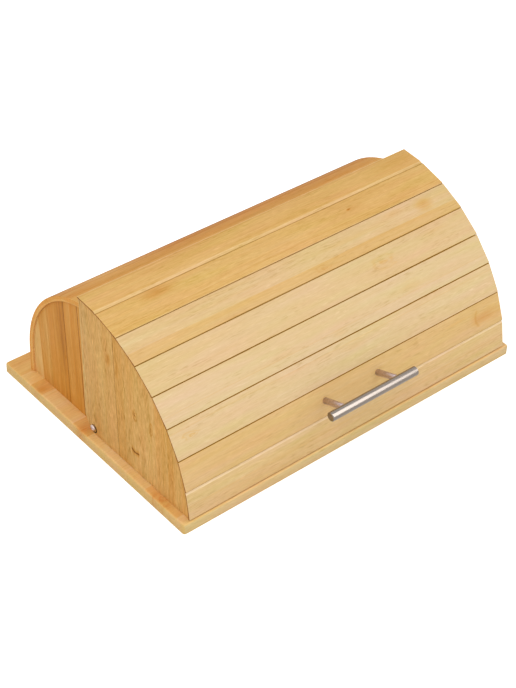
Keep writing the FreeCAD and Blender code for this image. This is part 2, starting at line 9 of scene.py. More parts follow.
import bmesh
import bpy
from mathutils import Matrix, Vector


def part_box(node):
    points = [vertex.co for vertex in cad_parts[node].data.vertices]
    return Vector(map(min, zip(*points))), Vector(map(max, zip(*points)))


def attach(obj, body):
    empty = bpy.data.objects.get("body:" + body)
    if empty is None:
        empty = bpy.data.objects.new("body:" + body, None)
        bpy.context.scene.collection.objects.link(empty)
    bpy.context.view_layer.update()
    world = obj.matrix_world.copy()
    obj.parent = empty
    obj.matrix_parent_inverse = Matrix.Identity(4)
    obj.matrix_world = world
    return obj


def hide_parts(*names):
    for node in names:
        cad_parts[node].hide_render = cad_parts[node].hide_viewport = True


bl_info = {
    "name": "Bread box finish",
    "version": (1, 0, 0),
    "blender": (4, 5, 0),
    "location": "3D View > Sidebar > Bread Box",
    "description": "Bamboo boards, slatted lid, pivots and bar handle of a bread box",
    "category": "Object",
}

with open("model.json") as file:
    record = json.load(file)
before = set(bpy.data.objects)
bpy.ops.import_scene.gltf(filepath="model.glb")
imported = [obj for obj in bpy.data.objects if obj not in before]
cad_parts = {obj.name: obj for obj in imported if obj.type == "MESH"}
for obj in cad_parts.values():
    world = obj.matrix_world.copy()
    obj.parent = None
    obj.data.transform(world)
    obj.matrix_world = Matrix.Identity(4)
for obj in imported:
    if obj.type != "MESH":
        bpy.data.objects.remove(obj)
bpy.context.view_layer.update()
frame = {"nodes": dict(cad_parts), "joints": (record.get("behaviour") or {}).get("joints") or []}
PIVOT = Vector(frame["joints"][0]["pos_m"])
SIDES = {"left": -1, "right": 1}
MM = 0.001

GRAIN = "grain"                 # attribute: metres along the fibres, across, below the face
CUT_END = "cut_end"             # attribute: how squarely a face cuts the fibres
SHADING = (0.8, 1.05, 1.75)     # how far a dark fibre lowers red, green and blue
INNER_PLY = 0.42                # tone of a bent board's inner ply
CANE = 230 * MM                 # from one node of the cane to the next
GLUE_LINE = 0.6 * MM            # width of the darker edge of a lath


# ---------------------------------------------------------------- settings

def metres(name, description, default):
    """Length property, in metres."""
    return bpy.props.FloatProperty(name=name, description=description, default=default,
                                   min=0.0, subtype="DISTANCE", unit="LENGTH", precision=5)


def colour(name, description, red, green, blue):
    """Colour property, given by the 0 to 255 values of its display colour."""
    return bpy.props.FloatVectorProperty(
        name=name, description=description, size=3, min=0.0, max=1.0,
        subtype="COLOR_GAMMA", default=(red / 255, green / 255, blue / 255))


class BreadBoxLid(bpy.types.PropertyGroup):
    """Sizes of the slatted lid."""
    arc_radius: metres("Arc radius", "Arc through the slats' outer corners", 0.1599)
    arc_lead: metres("Arc lead", "Lid arc's centre behind the pivot", 0.018)
    arc_drop: metres("Arc drop", "Lid arc's centre below the pivot", 0.020)
    seat_radius: metres("Seat radius", "Curved edge of the lid sides", 0.1581)
    rear_reach: metres("Rear reach", "Rear slat's edge behind the pivot", 0.0160)
    front_gap: metres("Front gap", "Lowest slat above the board", 0.0012)
    slat_thick: metres("Slat thickness", "Thickness of a slat", 0.004)
    slat_gap: metres("Groove", "Open joint between two slats", 0.00015)
    slat_lift: metres("Slat lift", "How far a slat's front edge stands proud", 0.0004)
    slat_bow: metres("Slat bow", "Unevenness of the slats along their length", 0.00025)
    slat_ease: metres("Slat edge", "Rounding of the slats' edges", 0.0004)
    bevel: metres("Bevel", "Width of the bevel along a slat's long edges", 0.0010)
    rear_slat_bevel: metres("Rear slat's bevel", "Bevel on the front edge of slat 1", 0.0036)
    front_slat_bevel: metres("Front slat's bevel", "Bevel on the rear edge of slat 8", 0.0030)
    bevel_slope: bpy.props.FloatProperty(
        name="Bevel slope", description="Slope of the bevels to the slat's face",
        default=math.radians(18), subtype="ANGLE")
    handle_hole: metres("Handle hole", "Holes for the handle's screws", 0.0042)
    post_spacing: metres("Post spacing", "Between the handle posts", 0.064)
    bar_stand: metres("Handle stand", "Bar's axis above the slat", 0.030)
    bar_bevel: metres("Bar bevel", "Bevel at the ends of the bar", 0.0005)
    rear_arc: bpy.props.FloatProperty(
        name="Rear arc", description="Arc that the trimmed rear slat covers",
        default=math.radians(9.56), subtype="ANGLE")
    front_arc: bpy.props.FloatProperty(
        name="Front arc", description="Arc that the trimmed front slat covers",
        default=math.radians(10.43), subtype="ANGLE")


class BreadBoxWood(bpy.types.PropertyGroup):
    """Colours of lacquered bamboo, from pale to dark, and the painted highlight and shade of the
    slats' bevels and grooves.
    """
    pale: colour("Pale", "Palest bamboo", 234, 208, 166)
    straw: colour("Straw", "Straw-coloured bamboo", 230, 198, 149)
    honey: colour("Honey", "Honey-coloured bamboo", 226, 181, 113)
    amber: colour("Amber", "Amber bamboo", 207, 143, 64)
    brown: colour("Brown", "Nodes and joints", 136, 80, 26)
    # Painted highlight: the pale colour that the slats' bevels take for the light they catch
    cut: colour("Bevel highlight", "Painted highlight on the slats' bevels", 249, 216, 170)
    orange: colour("Orange", "Flame-coloured patches", 205, 130, 58)
    # Painted shade: the colour that the walls of the slats' open joints take for the shadow in
    # the grooves
    joint: colour("Joint", "Painted shade on the walls of the open joints", 162, 113, 22)
    ease: metres("Edge", "Rounding of the boards' edges", 0.0006)
    shell_thick: metres("Shell thickness", "Thickness of the bent shell", 0.005)


class BreadBoxMetal(bpy.types.PropertyGroup):
    """Colours of the metal and plastic pieces, and the black of the rings of painted shadow
    beside the pivot screws.
    """
    steel: colour("Steel", "Brushed steel of the handle bar", 152, 142, 134)
    post: colour("Post steel", "Satin steel of the posts and screws", 212, 194, 196)
    screw: colour("Screw steel", "Bright steel of the pivot screws", 236, 216, 208)
    # Painted shadow: near-black colour of the rings beside the pivot screws' heads
    ring: colour("Ring", "Blackened rings under the pivot screws", 22, 18, 14)
    brass: colour("Brass", "Threaded inserts", 196, 160, 92)
    nylon: colour("Nylon", "Washers", 226, 221, 208)
    ease: metres("Edge", "Rounding of the posts' edges", 0.0002)


class BreadBoxStage(bpy.types.PropertyGroup):
    """Floor, lamps and camera."""
    floor: colour("Floor", "Pale floor", 247, 247, 247)
    lens: bpy.props.FloatProperty(name="Lens", description="Focal length in millimetres",
                                  default=86.9, min=1.0)
    eye: bpy.props.FloatVectorProperty(
        name="Eye", description="Place of the camera", size=3, subtype="TRANSLATION",
        unit="LENGTH", default=(-0.8163, -0.9173, 1.0249))


# ---------------------------------------------------------------- node trees

class Wire:
    """One value in a node tree. Arithmetic on it adds the Math nodes."""

    def __init__(self, tree, socket):
        self.tree = tree
        self.socket = socket

    def math(self, operation, *others):
        """Math node on this value and the others."""
        return self.tree.add("ShaderNodeMath", {"operation": operation},
                             dict(enumerate((self, *others))))[0]

    def __add__(self, other):
        return self.math("ADD", other)

    def __sub__(self, other):
        return self.math("SUBTRACT", other)

    def __mul__(self, other):
        return self.math("MULTIPLY", other)

    def __truediv__(self, other):
        return self.math("DIVIDE", other)

    def __radd__(self, other):
        return self + other

    def __rmul__(self, other):
        return self * other

    def __rsub__(self, other):
        return self.tree.number(other).math("SUBTRACT", self)

    def __rtruediv__(self, other):
        return self.tree.number(other).math("DIVIDE", self)

    def __neg__(self):
        return self * -1

    def floor(self):
        return self.math("FLOOR")

    def absolute(self):
        return self.math("ABSOLUTE")

    def clamped(self):
        return self.tree.add("ShaderNodeClamp", {}, {"Value": self})["Result"]

    def step(self, low, high):
        """0 below low and 1 above high, smooth between; falls where low is the larger."""
        settings = {"interpolation_type": "SMOOTHSTEP"}
        ends = (low, high, 0, 1) if low < high else (high, low, 1, 0)
        return self.tree.add("ShaderNodeMapRange", settings, {
            "Value": self, 1: ends[0], 2: ends[1], 3: ends[2], 4: ends[3]})["Result"]


class Outputs:
    """The outputs of a node, by name or number."""

    def __init__(self, tree, node):
        self.tree = tree
        self.node = node

    def __getitem__(self, key):
        return Wire(self.tree, self.node.outputs[key])


class Tree:
    """Adds nodes to a shader or geometry tree."""

    def __init__(self, tree):
        self.tree = tree

    def add(self, kind, settings=None, sockets=None):
        """Node of a type: its settings first, then values or links for its sockets."""
        node = self.tree.nodes.new(kind)
        for name, value in (settings or {}).items():
            setattr(node, name, value)
        for key, value in (sockets or {}).items():
            if isinstance(value, Wire):
                self.tree.links.new(value.socket, node.inputs[key])
            else:
                node.inputs[key].default_value = value
        return Outputs(self, node)

    def number(self, value):
        """Wire that carries a plain number."""
        return self.add("ShaderNodeMath", {"operation": "ADD"}, {0: value, 1: 0.0})[0]

    def vector(self, x, y=0.0, z=0.0):
        """Vector of three values."""
        return self.add("ShaderNodeCombineXYZ", {}, {0: x, 1: y, 2: z})[0]

    def parts(self, vector):
        """The three values of a vector."""
        node = self.add("ShaderNodeSeparateXYZ", {}, {0: vector})
        return node[0], node[1], node[2]

    def noise(self, x, y, z=0.0, detail=2.0, rough=0.5):
        """Noise from 0 to 1 at a point that is already scaled."""
        return self.add("ShaderNodeTexNoise", {}, {
            "Vector": self.vector(x, y, z), "Scale": 1.0, "Detail": detail,
            "Roughness": rough})["Fac"]

    def chance(self, value, seed):
        """Random number from 0 to 1 for each whole number."""
        return self.add("ShaderNodeTexWhiteNoise", {"noise_dimensions": "2D"}, {
            "Vector": self.vector(value, seed + 0.5)})["Value"]

    def mix(self, share, first, second, blend="MIX"):
        """Colour between two colours."""
        settings = {"data_type": "RGBA", "blend_type": blend}
        return self.add("ShaderNodeMix", settings, {0: share, 6: first, 7: second})[2]

    def pick(self, items, kind):
        """The item whose number is the point's own index."""
        index = self.add("GeometryNodeInputIndex")[0]
        node = self.add("GeometryNodeIndexSwitch", {"data_type": kind})
        while len(node.node.index_switch_items) < len(items):
            node.node.index_switch_items.new()
        self.tree.links.new(index.socket, node.node.inputs[0])
        for number, item in enumerate(items, start=1):
            if isinstance(item, Wire):
                self.tree.links.new(item.socket, node.node.inputs[number])
            else:
                node.node.inputs[number].default_value = item
        return node[0]

    def ramp(self, value, stops, interpolation="LINEAR"):
        """Colour ramp through (place, colour) stops, given in rising order."""
        node = self.add("ShaderNodeValToRGB", {}, {"Fac": value}).node
        node.color_ramp.interpolation = interpolation
        points = node.color_ramp.elements
        points.remove(points[1])
        points[0].position, points[0].color = stops[0]
        for place, shade in stops[1:]:
            points.new(place).color = shade
        return Wire(self, node.outputs["Color"])


def linear(display):
    """Linear RGBA of a display colour."""
    return tuple(value / 12.92 if value <= 0.04045 else ((value + 0.055) / 1.055) ** 2.4
                 for value in display) + (1.0,)


def new_material(name, **constants):
    """Material with a Principled shader; constants go straight to its sockets."""
    made = bpy.data.materials.new(name)
    made.use_nodes = True
    made.node_tree.nodes.clear()
    tree = Tree(made.node_tree)
    shader = tree.add("ShaderNodeBsdfPrincipled", {}, constants)
    tree.add("ShaderNodeOutputMaterial", {}, {"Surface": shader["BSDF"]})
    return made, tree, shader.node


def feed(tree, shader, **wires):
    """Link what varies over the surface to the shader."""
    for name, wire in wires.items():
        tree.tree.links.new(wire.socket, shader.inputs[name.replace("_", " ")])


# ---------------------------------------------------------------- bamboo

class Blemish:
    """A mark in the wood: its middle along and across the grain, its half length and half
    width, all in millimetres, and how dark it is."""

    STRAY_ALONG = 6 * MM        # how far its ragged outline strays
    STRAY_ACROSS = 1.5 * MM

    def __init__(self, along, across, half_long, half_wide, strength):
        self.along = along * MM
        self.across = across * MM
        self.half_long = half_long * MM
        self.half_wide = half_wide * MM
        self.strength = strength

    def reach(self, along, across, ragged):
        """0 in the middle and 1 at the outline of the mark."""
        u = (along - self.along + ragged * self.STRAY_ALONG) / self.half_long
        v = (across - self.across + ragged * self.STRAY_ACROSS) / self.half_wide
        return (u * u + v * v).math("SQRT")


class Spot(Blemish):
    """A soft dark patch with darker fibres in it."""

    def shade(self, along, across, ragged, fibre):
        reach = self.reach(along, across, ragged)
        return reach.step(1.0, 0.0) * (1 + fibre * 4) * self.strength


class Swirl(Blemish):
    """Oval rings round the scar of a bud."""

    def shade(self, along, across, ragged, fibre):
        reach = self.reach(along, across, ragged * 3.0)
        rings = (reach * 13 + ragged * 6).math("SINE").step(-0.4, 1.0) + 0.2
        return reach.step(1.0, 0.3) * rings * (1 + fibre * 4) * self.strength


class Node(Blemish):
    """A bowed line across the lath where the cane had a node. It bows towards higher values
    along the grain, or towards lower ones where the half length is negative."""

    def shade(self, along, across, ragged, fibre):
        v = (across - self.across) / self.half_wide
        bow = v * v * (0.6 * self.half_long) + ragged * (4 * MM)
        line = (along - self.along + bow).absolute() / abs(self.half_long)
        within = v.absolute().step(1.0, 0.85)
        return within * (line.step(0.5, 0.0) + line.step(2.0, 0.0) * 0.5) * self.strength


def lath_tones(tree, lane, laths):
    """Tone of each lath, from (edge in millimetres, tone) pairs in rising order."""
    low = laths[0][0]
    span = laths[-1][0] + 1 - low
    stops = [((edge - low) / span, (tone, tone, tone, 1.0)) for edge, tone in laths]
    return tree.ramp((lane * 1000 - low) / span, stops, "CONSTANT")


class Figure:
    """What the wood shows at a point, given by its place along the fibres, across them and
    below the face: the lath it lies in, noises about 0 that grow finer from broad to fleck,
    and dark and light dashes."""

    def __init__(self, tree, seed, place, strip, slant):
        along, across, depth = place
        shift = seed * 7.31
        sway = tree.noise(along * 5 + shift, across * 22, depth * 22, 1.0) - 0.5
        lane = across + sway * (3 * MM) + along * slant
        lath = lane / strip + seed * 0.37
        cell = lath.floor()
        self.tree, self.seed, self.along = tree, seed, along
        self.lane, self.lath, self.cell = lane, lath, cell

        self.broad = tree.noise(along * 6 + cell * 3.7, lane * 70 + shift, depth * 60) - 0.5
        self.streak = tree.noise(along * 10 + cell, lane * 330 + shift, depth * 300,
                                 3.0, 0.6) - 0.5
        self.fibre = tree.noise(along * 20, lane * 600 + shift, depth * 600, 3.0, 0.7) - 0.5
        self.fleck = tree.noise(along * 110 + shift, lane * 700, depth * 700, 3.0, 0.7) - 0.5
        self.ragged = tree.noise(along * 60, lane * 260 + shift) - 0.5
        self.cloud = tree.noise(along * 12 - shift, lane * 90, depth * 60, 1.0) - 0.5
        dash = tree.noise(along * 90 + shift, lane * 900, depth * 900, 1.0)
        field = tree.noise(along * 16 + shift, lane * 75, depth * 60)
        self.dark = dash.step(0.54, 0.66) * field.step(0.46, 0.62)
        self.light = dash.step(0.44, 0.32) * field.step(0.52, 0.36)

    def nodes(self, share):
        """Line and halo of the cane's nodes, on the given share of the laths."""
        turn = self.along / CANE + self.tree.chance(self.cell, self.seed + 11)
        off = (turn - turn.floor() - 0.5) * CANE + self.ragged * (6 * MM)
        shown = self.tree.chance(self.cell, self.seed + 23).step(1 - share, 1.01 - share)
        line = off.absolute().step(2.2 * MM, 0.6 * MM)
        halo = off.absolute().step(13 * MM, 2 * MM)
        return line * shown, halo * shown


def bamboo(name, seed, tint, nodes, tone=None, strip=22 * MM, play=0.2, slant=0.0, laths=(),
           marks=(), glows=(), streaks=0.14, fibres=0.3, flecks=0.4, dashes=0.12,
           cast=(0.03, -0.02, 0.10), rim=None, bevel_highlight=(0, 0), walls=None, groove_shade=0.95,
           plies=None, ends=(0.94, 1.0), gloss=0.1):
    """Lacquered bamboo.

    tone, from 0 for pale to 1 for brown, is that of random laths of the strip's width, which
    stray from it by play. laths lists them instead. nodes is the share of laths with nodes.
    streaks, fibres, flecks and dashes are strengths. marks are dark, and glows are orange.
    tint is the red, green and blue of the whole board, cast how far patches stray from it,
    and rim a tint of its edges alone. On a slat, bevel_highlight is how much the rear and front
    bevels take the painted highlight colour, walls the depths below which the two edges take
    the painted shade of the grooves, and groove_shade how strongly.
    plies is the depth of the outer ply. ends are the tones of the cut ends, by the face and
    below it.
    """
    wood = bpy.context.scene.bread_box_wood
    made, tree, shader = new_material(name, **{"IOR": 1.45, "Specular IOR Level": gloss})
    place = tree.parts(tree.add("ShaderNodeAttribute", {"attribute_name": GRAIN})["Vector"])
    along, across, depth = place
    squarely = tree.add("ShaderNodeAttribute", {"attribute_name": CUT_END})["Fac"]
    end = squarely.step(0.5, 0.75)
    figure = Figure(tree, seed, place, strip, slant)
    fibre, ragged, dark = figure.fibre, figure.ragged, figure.dark

    stray = tree.chance(figure.cell, seed) - 0.5
    if laths:
        value = lath_tones(tree, figure.lane, laths) + stray * (play * 0.15)
    else:
        brink = (figure.lath - figure.cell - 0.5).absolute()
        value = tone + stray * play + brink.step(0.5 - GLUE_LINE / strip, 0.5) * 0.09
    line, halo = figure.nodes(nodes)
    value = value + figure.broad * 0.20 + figure.streak * streaks
    value = value + line * 0.10 + halo * (0.05 + fibre * 0.4)
    for mark in marks:
        value = value + mark.shade(along, across, ragged, fibre)
    if plies:
        below = depth.step(plies - 0.2 * MM, plies + 0.2 * MM)
        seam = (depth - plies).absolute().step(0.5 * MM, 0.0) * 0.06
        value = value + below * (INNER_PLY - value)
    else:
        below = depth.step(0.8 * MM, 1.4 * MM)
        seam = 0.0
    face = ends[0] + below * (ends[1] - ends[0]) + seam
    value = value + end * (face + fibre * 0.4 - value)

    shades = [wood.pale, wood.straw, wood.honey, wood.amber, wood.brown]
    base = tree.ramp(value.clamped(), [
        (number / (len(shades) - 1), linear(shade)) for number, shade in enumerate(shades)])
    for mark in glows:
        share = mark.shade(along, across, ragged, fibre).clamped()
        base = tree.mix(share, base, linear(wood.orange))
    if walls:
        front = across.step(-1 * MM, 1 * MM)
        thick = bpy.context.scene.bread_box_lid.slat_thick
        edges = depth.step(thick - 0.1 * MM, thick - 0.4 * MM) * (1 - end)
    # Painted highlight: the bevels are mixed towards the pale bevel colour for the light they
    # catch
    if any(bevel_highlight):
        bevel = depth.step(0.05 * MM, 0.2 * MM) * edges
        share = bevel * (bevel_highlight[0] + front * (bevel_highlight[1] - bevel_highlight[0]))
        base = tree.mix(share, base, linear(wood.cut))
    grain = (fibre * fibres + figure.fleck * flecks - dark * dashes
             + figure.light * (0.7 * dashes))
    base = tree.mix(1.0, base, tree.vector(*(
        mean + figure.cloud * (3 * patch) + grain * dim
        for mean, patch, dim in zip(tint, cast, SHADING))), "MULTIPLY")
    if rim:
        tinted = tree.mix(1.0, base, (*rim, 1.0), "MULTIPLY")
        base = tree.mix(depth.step(0.4 * MM, 1.2 * MM), base, tinted)
    rough = 0.45 + fibre * 0.2 + dark * 0.1
    # Painted shade: below the walls' depths a slat's edges take the joint colour for the shadow
    # in the grooves
    if walls:
        turns_dark = walls[0] + front * (walls[1] - walls[0])
        wall = (depth - turns_dark).step(0.0, 0.1 * MM) * edges
        base = tree.mix(wall * groove_shade, base, linear(wood.joint))
        rough = rough + wall * 0.5
    bump = tree.add("ShaderNodeBump", {}, {
        "Strength": 0.25, "Distance": 0.2 * MM,
        "Height": fibre - dark * 0.3 + figure.streak * 0.5})["Normal"]
    feed(tree, shader, Base_Color=base, Roughness=rough, Normal=bump)
    return made


# ---------------------------------------------------------------- metal and plastic

def dimmed(shade, share):
    """Linear colour lowered to a share of itself."""
    return tuple(value * share for value in shade[:3]) + (1.0,)


def object_place(tree):
    """The point's X, Y and Z on the piece."""
    return tree.parts(tree.add("ShaderNodeTexCoord")["Object"])


def metal_finish(name, shade, grain, rough, dull=0.72, spread=0.12):
    """Bare metal with fine tool lines: grain is the lines per metre along X, Y and Z, dull
    the brightness between them, and spread how much rougher they are."""
    made, tree, shader = new_material(name, **{"Metallic": 1.0})
    x, y, z = object_place(tree)
    lines = tree.noise(x * grain[0], y * grain[1], z * grain[2], 3.0)
    smear = tree.noise(x * 60, y * 200, z * 200)
    bright = linear(shade)
    dark = dimmed(bright, dull)
    bump = tree.add("ShaderNodeBump", {}, {
        "Strength": 0.12, "Distance": 0.1 * MM, "Height": lines})["Normal"]
    feed(tree, shader, Base_Color=tree.mix(lines.step(0.3, 0.7), dark, bright),
         Roughness=rough + lines * spread + smear * 0.06, Normal=bump)
    return made


def moulded_nylon(name, shade):
    """Slightly mottled plastic."""
    made, tree, shader = new_material(name, **{"IOR": 1.5})
    x, y, z = object_place(tree)
    cloud = tree.noise(x * 900, y * 900, z * 900)
    bright = linear(shade)
    feed(tree, shader, Base_Color=tree.mix(cloud, dimmed(bright, 0.85), bright),
         Roughness=0.42 + cloud * 0.1)
    return made


# ---------------------------------------------------------------- mesh helpers

def new_object(name, data):
    """Object in the scene, at the origin."""
    made = bpy.data.objects.new(name, data)
    bpy.context.scene.collection.objects.link(made)
    return made


def baked(made):
    """Turn the modifiers into plain mesh and remove them."""
    graph = bpy.context.evaluated_depsgraph_get()
    mesh = bpy.data.meshes.new_from_object(made.evaluated_get(graph))
    mesh.name = made.name
    made.modifiers.clear()
    old = made.data
    made.data = mesh
    bpy.data.meshes.remove(old)
    return made


def eased(made, width):
    """Round every edge sharper than 30 degrees and keep the faces' own shading."""
    bevel = made.modifiers.new("Eased edges", "BEVEL")
    bevel.width = width
    bevel.segments = 2
    bevel.limit_method = "ANGLE"
    bevel.angle_limit = math.radians(30)
    bevel.harden_normals = True
    bevel.miter_outer = "MITER_ARC"
    for face in made.data.polygons:
        face.use_smooth = True
    return baked(made)


def copied(node, name):
    """Copy of a CAD node as one closed mesh with whole faces."""
    mesh = bpy.data.meshes.new(name)
    work = bmesh.new()
    work.from_mesh(frame["nodes"][node].data)
    bmesh.ops.remove_doubles(work, verts=work.verts, dist=0.002 * MM)
    bmesh.ops.dissolve_limit(work, angle_limit=math.radians(1), verts=work.verts,
                             edges=work.edges)
    work.to_mesh(mesh)
    work.free()
    return new_object(name, mesh)


def set_grain(made, fibres, mapping):
    """Store the grain coordinates, worked out from each vertex's place, and how squarely
    each face cuts the fibres."""
    mesh = made.data
    layer = mesh.attributes.new(GRAIN, "FLOAT_VECTOR", "POINT")
    values = [part for vertex in mesh.vertices for part in mapping(vertex.co)]
    layer.data.foreach_set("vector", values)
    layer = mesh.attributes.new(CUT_END, "FLOAT", "FACE")
    axis = Vector(fibres)
    layer.data.foreach_set("value", [abs(face.normal.dot(axis)) for face in mesh.polygons])


def dress(made, material, body, nodes):
    """Give a finished piece its material and body, and hide the nodes that it replaces."""
    made.data.materials.clear()
    made.data.materials.append(material)
    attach(made, body)
    if nodes:
        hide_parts(*nodes)


def upright_board(node, name, sign, body, material):
    """Side board whose fibres stand upright, made from its CAD node."""
    low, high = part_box(node)
    outer = high.x if sign > 0 else low.x
    made = eased(copied(node, name), bpy.context.scene.bread_box_wood.ease)
    set_grain(made, (0, 0, 1), lambda place: (place.z, place.y, (outer - place.x) * sign))
    dress(made, material, body, [node])


# ---------------------------------------------------------------- shape trees

SLICES = 41                     # cross-sections along a slat or the bent shell


def new_tree(name, inputs, vectors=()):
    """Geometry Nodes tree with named inputs. Returns it, its builder and its inputs."""
    group = bpy.data.node_groups.new(name, "GeometryNodeTree")
    face = group.interface
    face.new_socket("Geometry", in_out="OUTPUT", socket_type="NodeSocketGeometry")
    for item in inputs:
        face.new_socket(item, in_out="INPUT", socket_type="NodeSocketFloat")
    for item in vectors:
        face.new_socket(item, in_out="INPUT", socket_type="NodeSocketVector")
    face.new_socket("Material", in_out="INPUT", socket_type="NodeSocketMaterial")
    tree = Tree(group)
    return group, tree, tree.add("NodeGroupInput")


def close_tree(tree, given, shape):
    """End a tree in real geometry with its material."""
    whole = tree.add("GeometryNodeRealizeInstances", {}, {"Geometry": shape})[0]
    coloured = tree.add("GeometryNodeSetMaterial", {}, {
        "Geometry": whole, "Material": given["Material"]})[0]
    tree.add("NodeGroupOutput", {}, {0: coloured})


def drawn_out(tree, corners, length, count):
    """Closed section, given by its corners' Y and Z, drawn out along X."""
    ring = tree.add("GeometryNodeMeshCircle", {}, {"Vertices": count})["Mesh"]
    ring = tree.add("GeometryNodeSetPosition", {}, {"Geometry": ring, "Position": corners})[0]
    section = tree.add("GeometryNodeMeshToCurve", {}, {"Mesh": ring})[0]
    path = tree.add("GeometryNodeCurvePrimitiveLine", {}, {
        "Start": tree.vector(-length / 2), "End": tree.vector(length / 2)})[0]
    path = tree.add("GeometryNodeResampleCurve", {}, {"Curve": path, "Count": SLICES})[0]
    return tree.add("GeometryNodeCurveToMesh", {}, {
        "Curve": path, "Profile Curve": section, "Fill Caps": True})[0]


def moved(tree, shape, place, turn=(0, 0, 0)):
    """Shape turned about the origin and then moved."""
    return tree.add("GeometryNodeTransform", {}, {
        "Geometry": shape, "Translation": place, "Rotation": turn})[0]


def joined(tree, *shapes):
    """Several shapes as one."""
    node = tree.add("GeometryNodeJoinGeometry")
    for shape in shapes:
        tree.tree.links.new(shape.socket, node.node.inputs[0])
    return node[0]


def cut_away(tree, shape, cutter):
    """Shape less the cutter."""
    return tree.add("GeometryNodeMeshBoolean", {"operation": "DIFFERENCE", "solver": "EXACT"}, {
        "Mesh 1": shape, "Mesh 2": cutter})["Mesh"]


def cylinder(tree, radius, depth, sides):
    """Closed cylinder about Z, with its middle at the origin."""
    return tree.add("GeometryNodeMeshCylinder", {}, {
        "Vertices": sides, "Radius": radius, "Depth": depth})["Mesh"]


def slat_tree(name, drilled):
    """One slat: a bevelled section drawn along the lid, cut to lap over the lid sides."""
    group, tree, given = new_tree(name, (
        "Length", "Arc radius", "Seat radius", "Seat start", "Thickness", "Rear bevel",
        "Front bevel", "Slope", "Gap", "Lift", "Bow", "Lean", "Arc", "Centre Y", "Centre Z",
        "Seed", "Hole radius", "Hole spacing"))
    half = given["Arc"] / 2
    radius, gap = given["Arc radius"], given["Gap"] / 2
    face_z = radius * half.math("COSINE")
    inner_z = face_z - given["Thickness"]
    inner_y = inner_z * half.math("TANGENT") - gap
    corners = [tree.vector(-inner_y, inner_z), tree.vector(inner_y, inner_z)]
    for sign, bevel in ((1, given["Rear bevel"]), (-1, given["Front bevel"])):
        drop = bevel * given["Slope"].math("TANGENT")
        edge_y = (radius - drop) * half.math("SINE") - gap
        face_y = radius * half.math("SINE") - bevel - gap
        lift = given["Lift"] * (0 if sign > 0 else 1)
        points = [tree.vector(edge_y * sign, (radius - drop) * half.math("COSINE") + lift),
                  tree.vector(face_y * sign, face_z + lift)]
        corners += points if sign > 0 else points[::-1]
    slat = drawn_out(tree, tree.pick(corners, "VECTOR"), given["Length"], len(corners))
    x, y, _ = tree.parts(tree.add("GeometryNodeInputPosition")[0])
    wave = tree.noise(x * 9 + given["Seed"] * 5.3, y * 20 + given["Seed"]) - 0.5
    sag = tree.noise(x * 7 - given["Seed"] * 3.1, given["Seed"], 3.0, 1.0) - 0.5
    slat = tree.add("GeometryNodeSetPosition", {}, {
        "Geometry": slat,
        "Offset": tree.vector(0.0, wave * given["Bow"], sag * given["Bow"])})[0]
    if drilled:
        drill = cylinder(tree, given["Hole radius"], radius * 4, 32)
        slat = cut_away(tree, slat, joined(tree, *(
            moved(tree, drill, tree.vector(given["Hole spacing"] / 2 * sign))
            for sign in SIDES.values())))
    centre = tree.vector(0.0, given["Centre Y"], given["Centre Z"])
    slat = moved(tree, slat, centre, tree.vector(given["Lean"] + math.pi))
    seat_depth = 30 * MM
    drum = cylinder(tree, given["Seat radius"], seat_depth, 512)
    drum = moved(tree, drum, (0, 0, 0), (0, math.pi / 2, 0))
    reach = given["Seat start"] + seat_depth / 2
    drums = joined(tree, *(
        moved(tree, drum, tree.vector(reach * sign, given["Centre Y"], given["Centre Z"]))
        for sign in SIDES.values()))
    close_tree(tree, given, cut_away(tree, slat, drums))
    return group


def shell_tree():
    """The bent shell: a foot that rises straight, then a quarter round over the sides."""
    group, tree, given = new_tree("Bent back", (
        "Length", "Radius", "Thickness", "Foot", "Centre Y", "Centre Z"))
    steps = 64                      # points along the outer face, and along the inner
    index = tree.add("GeometryNodeInputIndex")[0]
    inside = index.step(steps - 0.6, steps - 0.5)
    share = (index + inside * (2 * steps - 1 - index * 2)) / (steps - 1)
    quarter = given["Radius"] * (math.pi / 2)
    run = share * (quarter + given["Foot"])
    turn = run.math("MINIMUM", quarter) / given["Radius"]
    straight = (run - quarter).math("MAXIMUM", 0.0)
    reach = given["Radius"] - inside * given["Thickness"]
    corners = tree.vector(reach * turn.math("SINE"), reach * turn.math("COSINE") - straight)
    shell = drawn_out(tree, corners, given["Length"], 2 * steps)
    centre = tree.vector(0.0, given["Centre Y"], given["Centre Z"])
    close_tree(tree, given, moved(tree, shell, centre, (math.pi, 0, 0)))
    return group


def grown(name, group, **values):
    """Object made by a Geometry Nodes tree, with its inputs set by name."""
    made = new_object(name, bpy.data.meshes.new(name))
    modifier = made.modifiers.new(group.name, "NODES")
    modifier.node_group = group
    for item in group.interface.items_tree:
        key = item.name.replace(" ", "_")
        if item.in_out == "INPUT" and key in values:
            modifier[item.identifier] = values[key]
    return baked(made)


# ---------------------------------------------------------------- slats

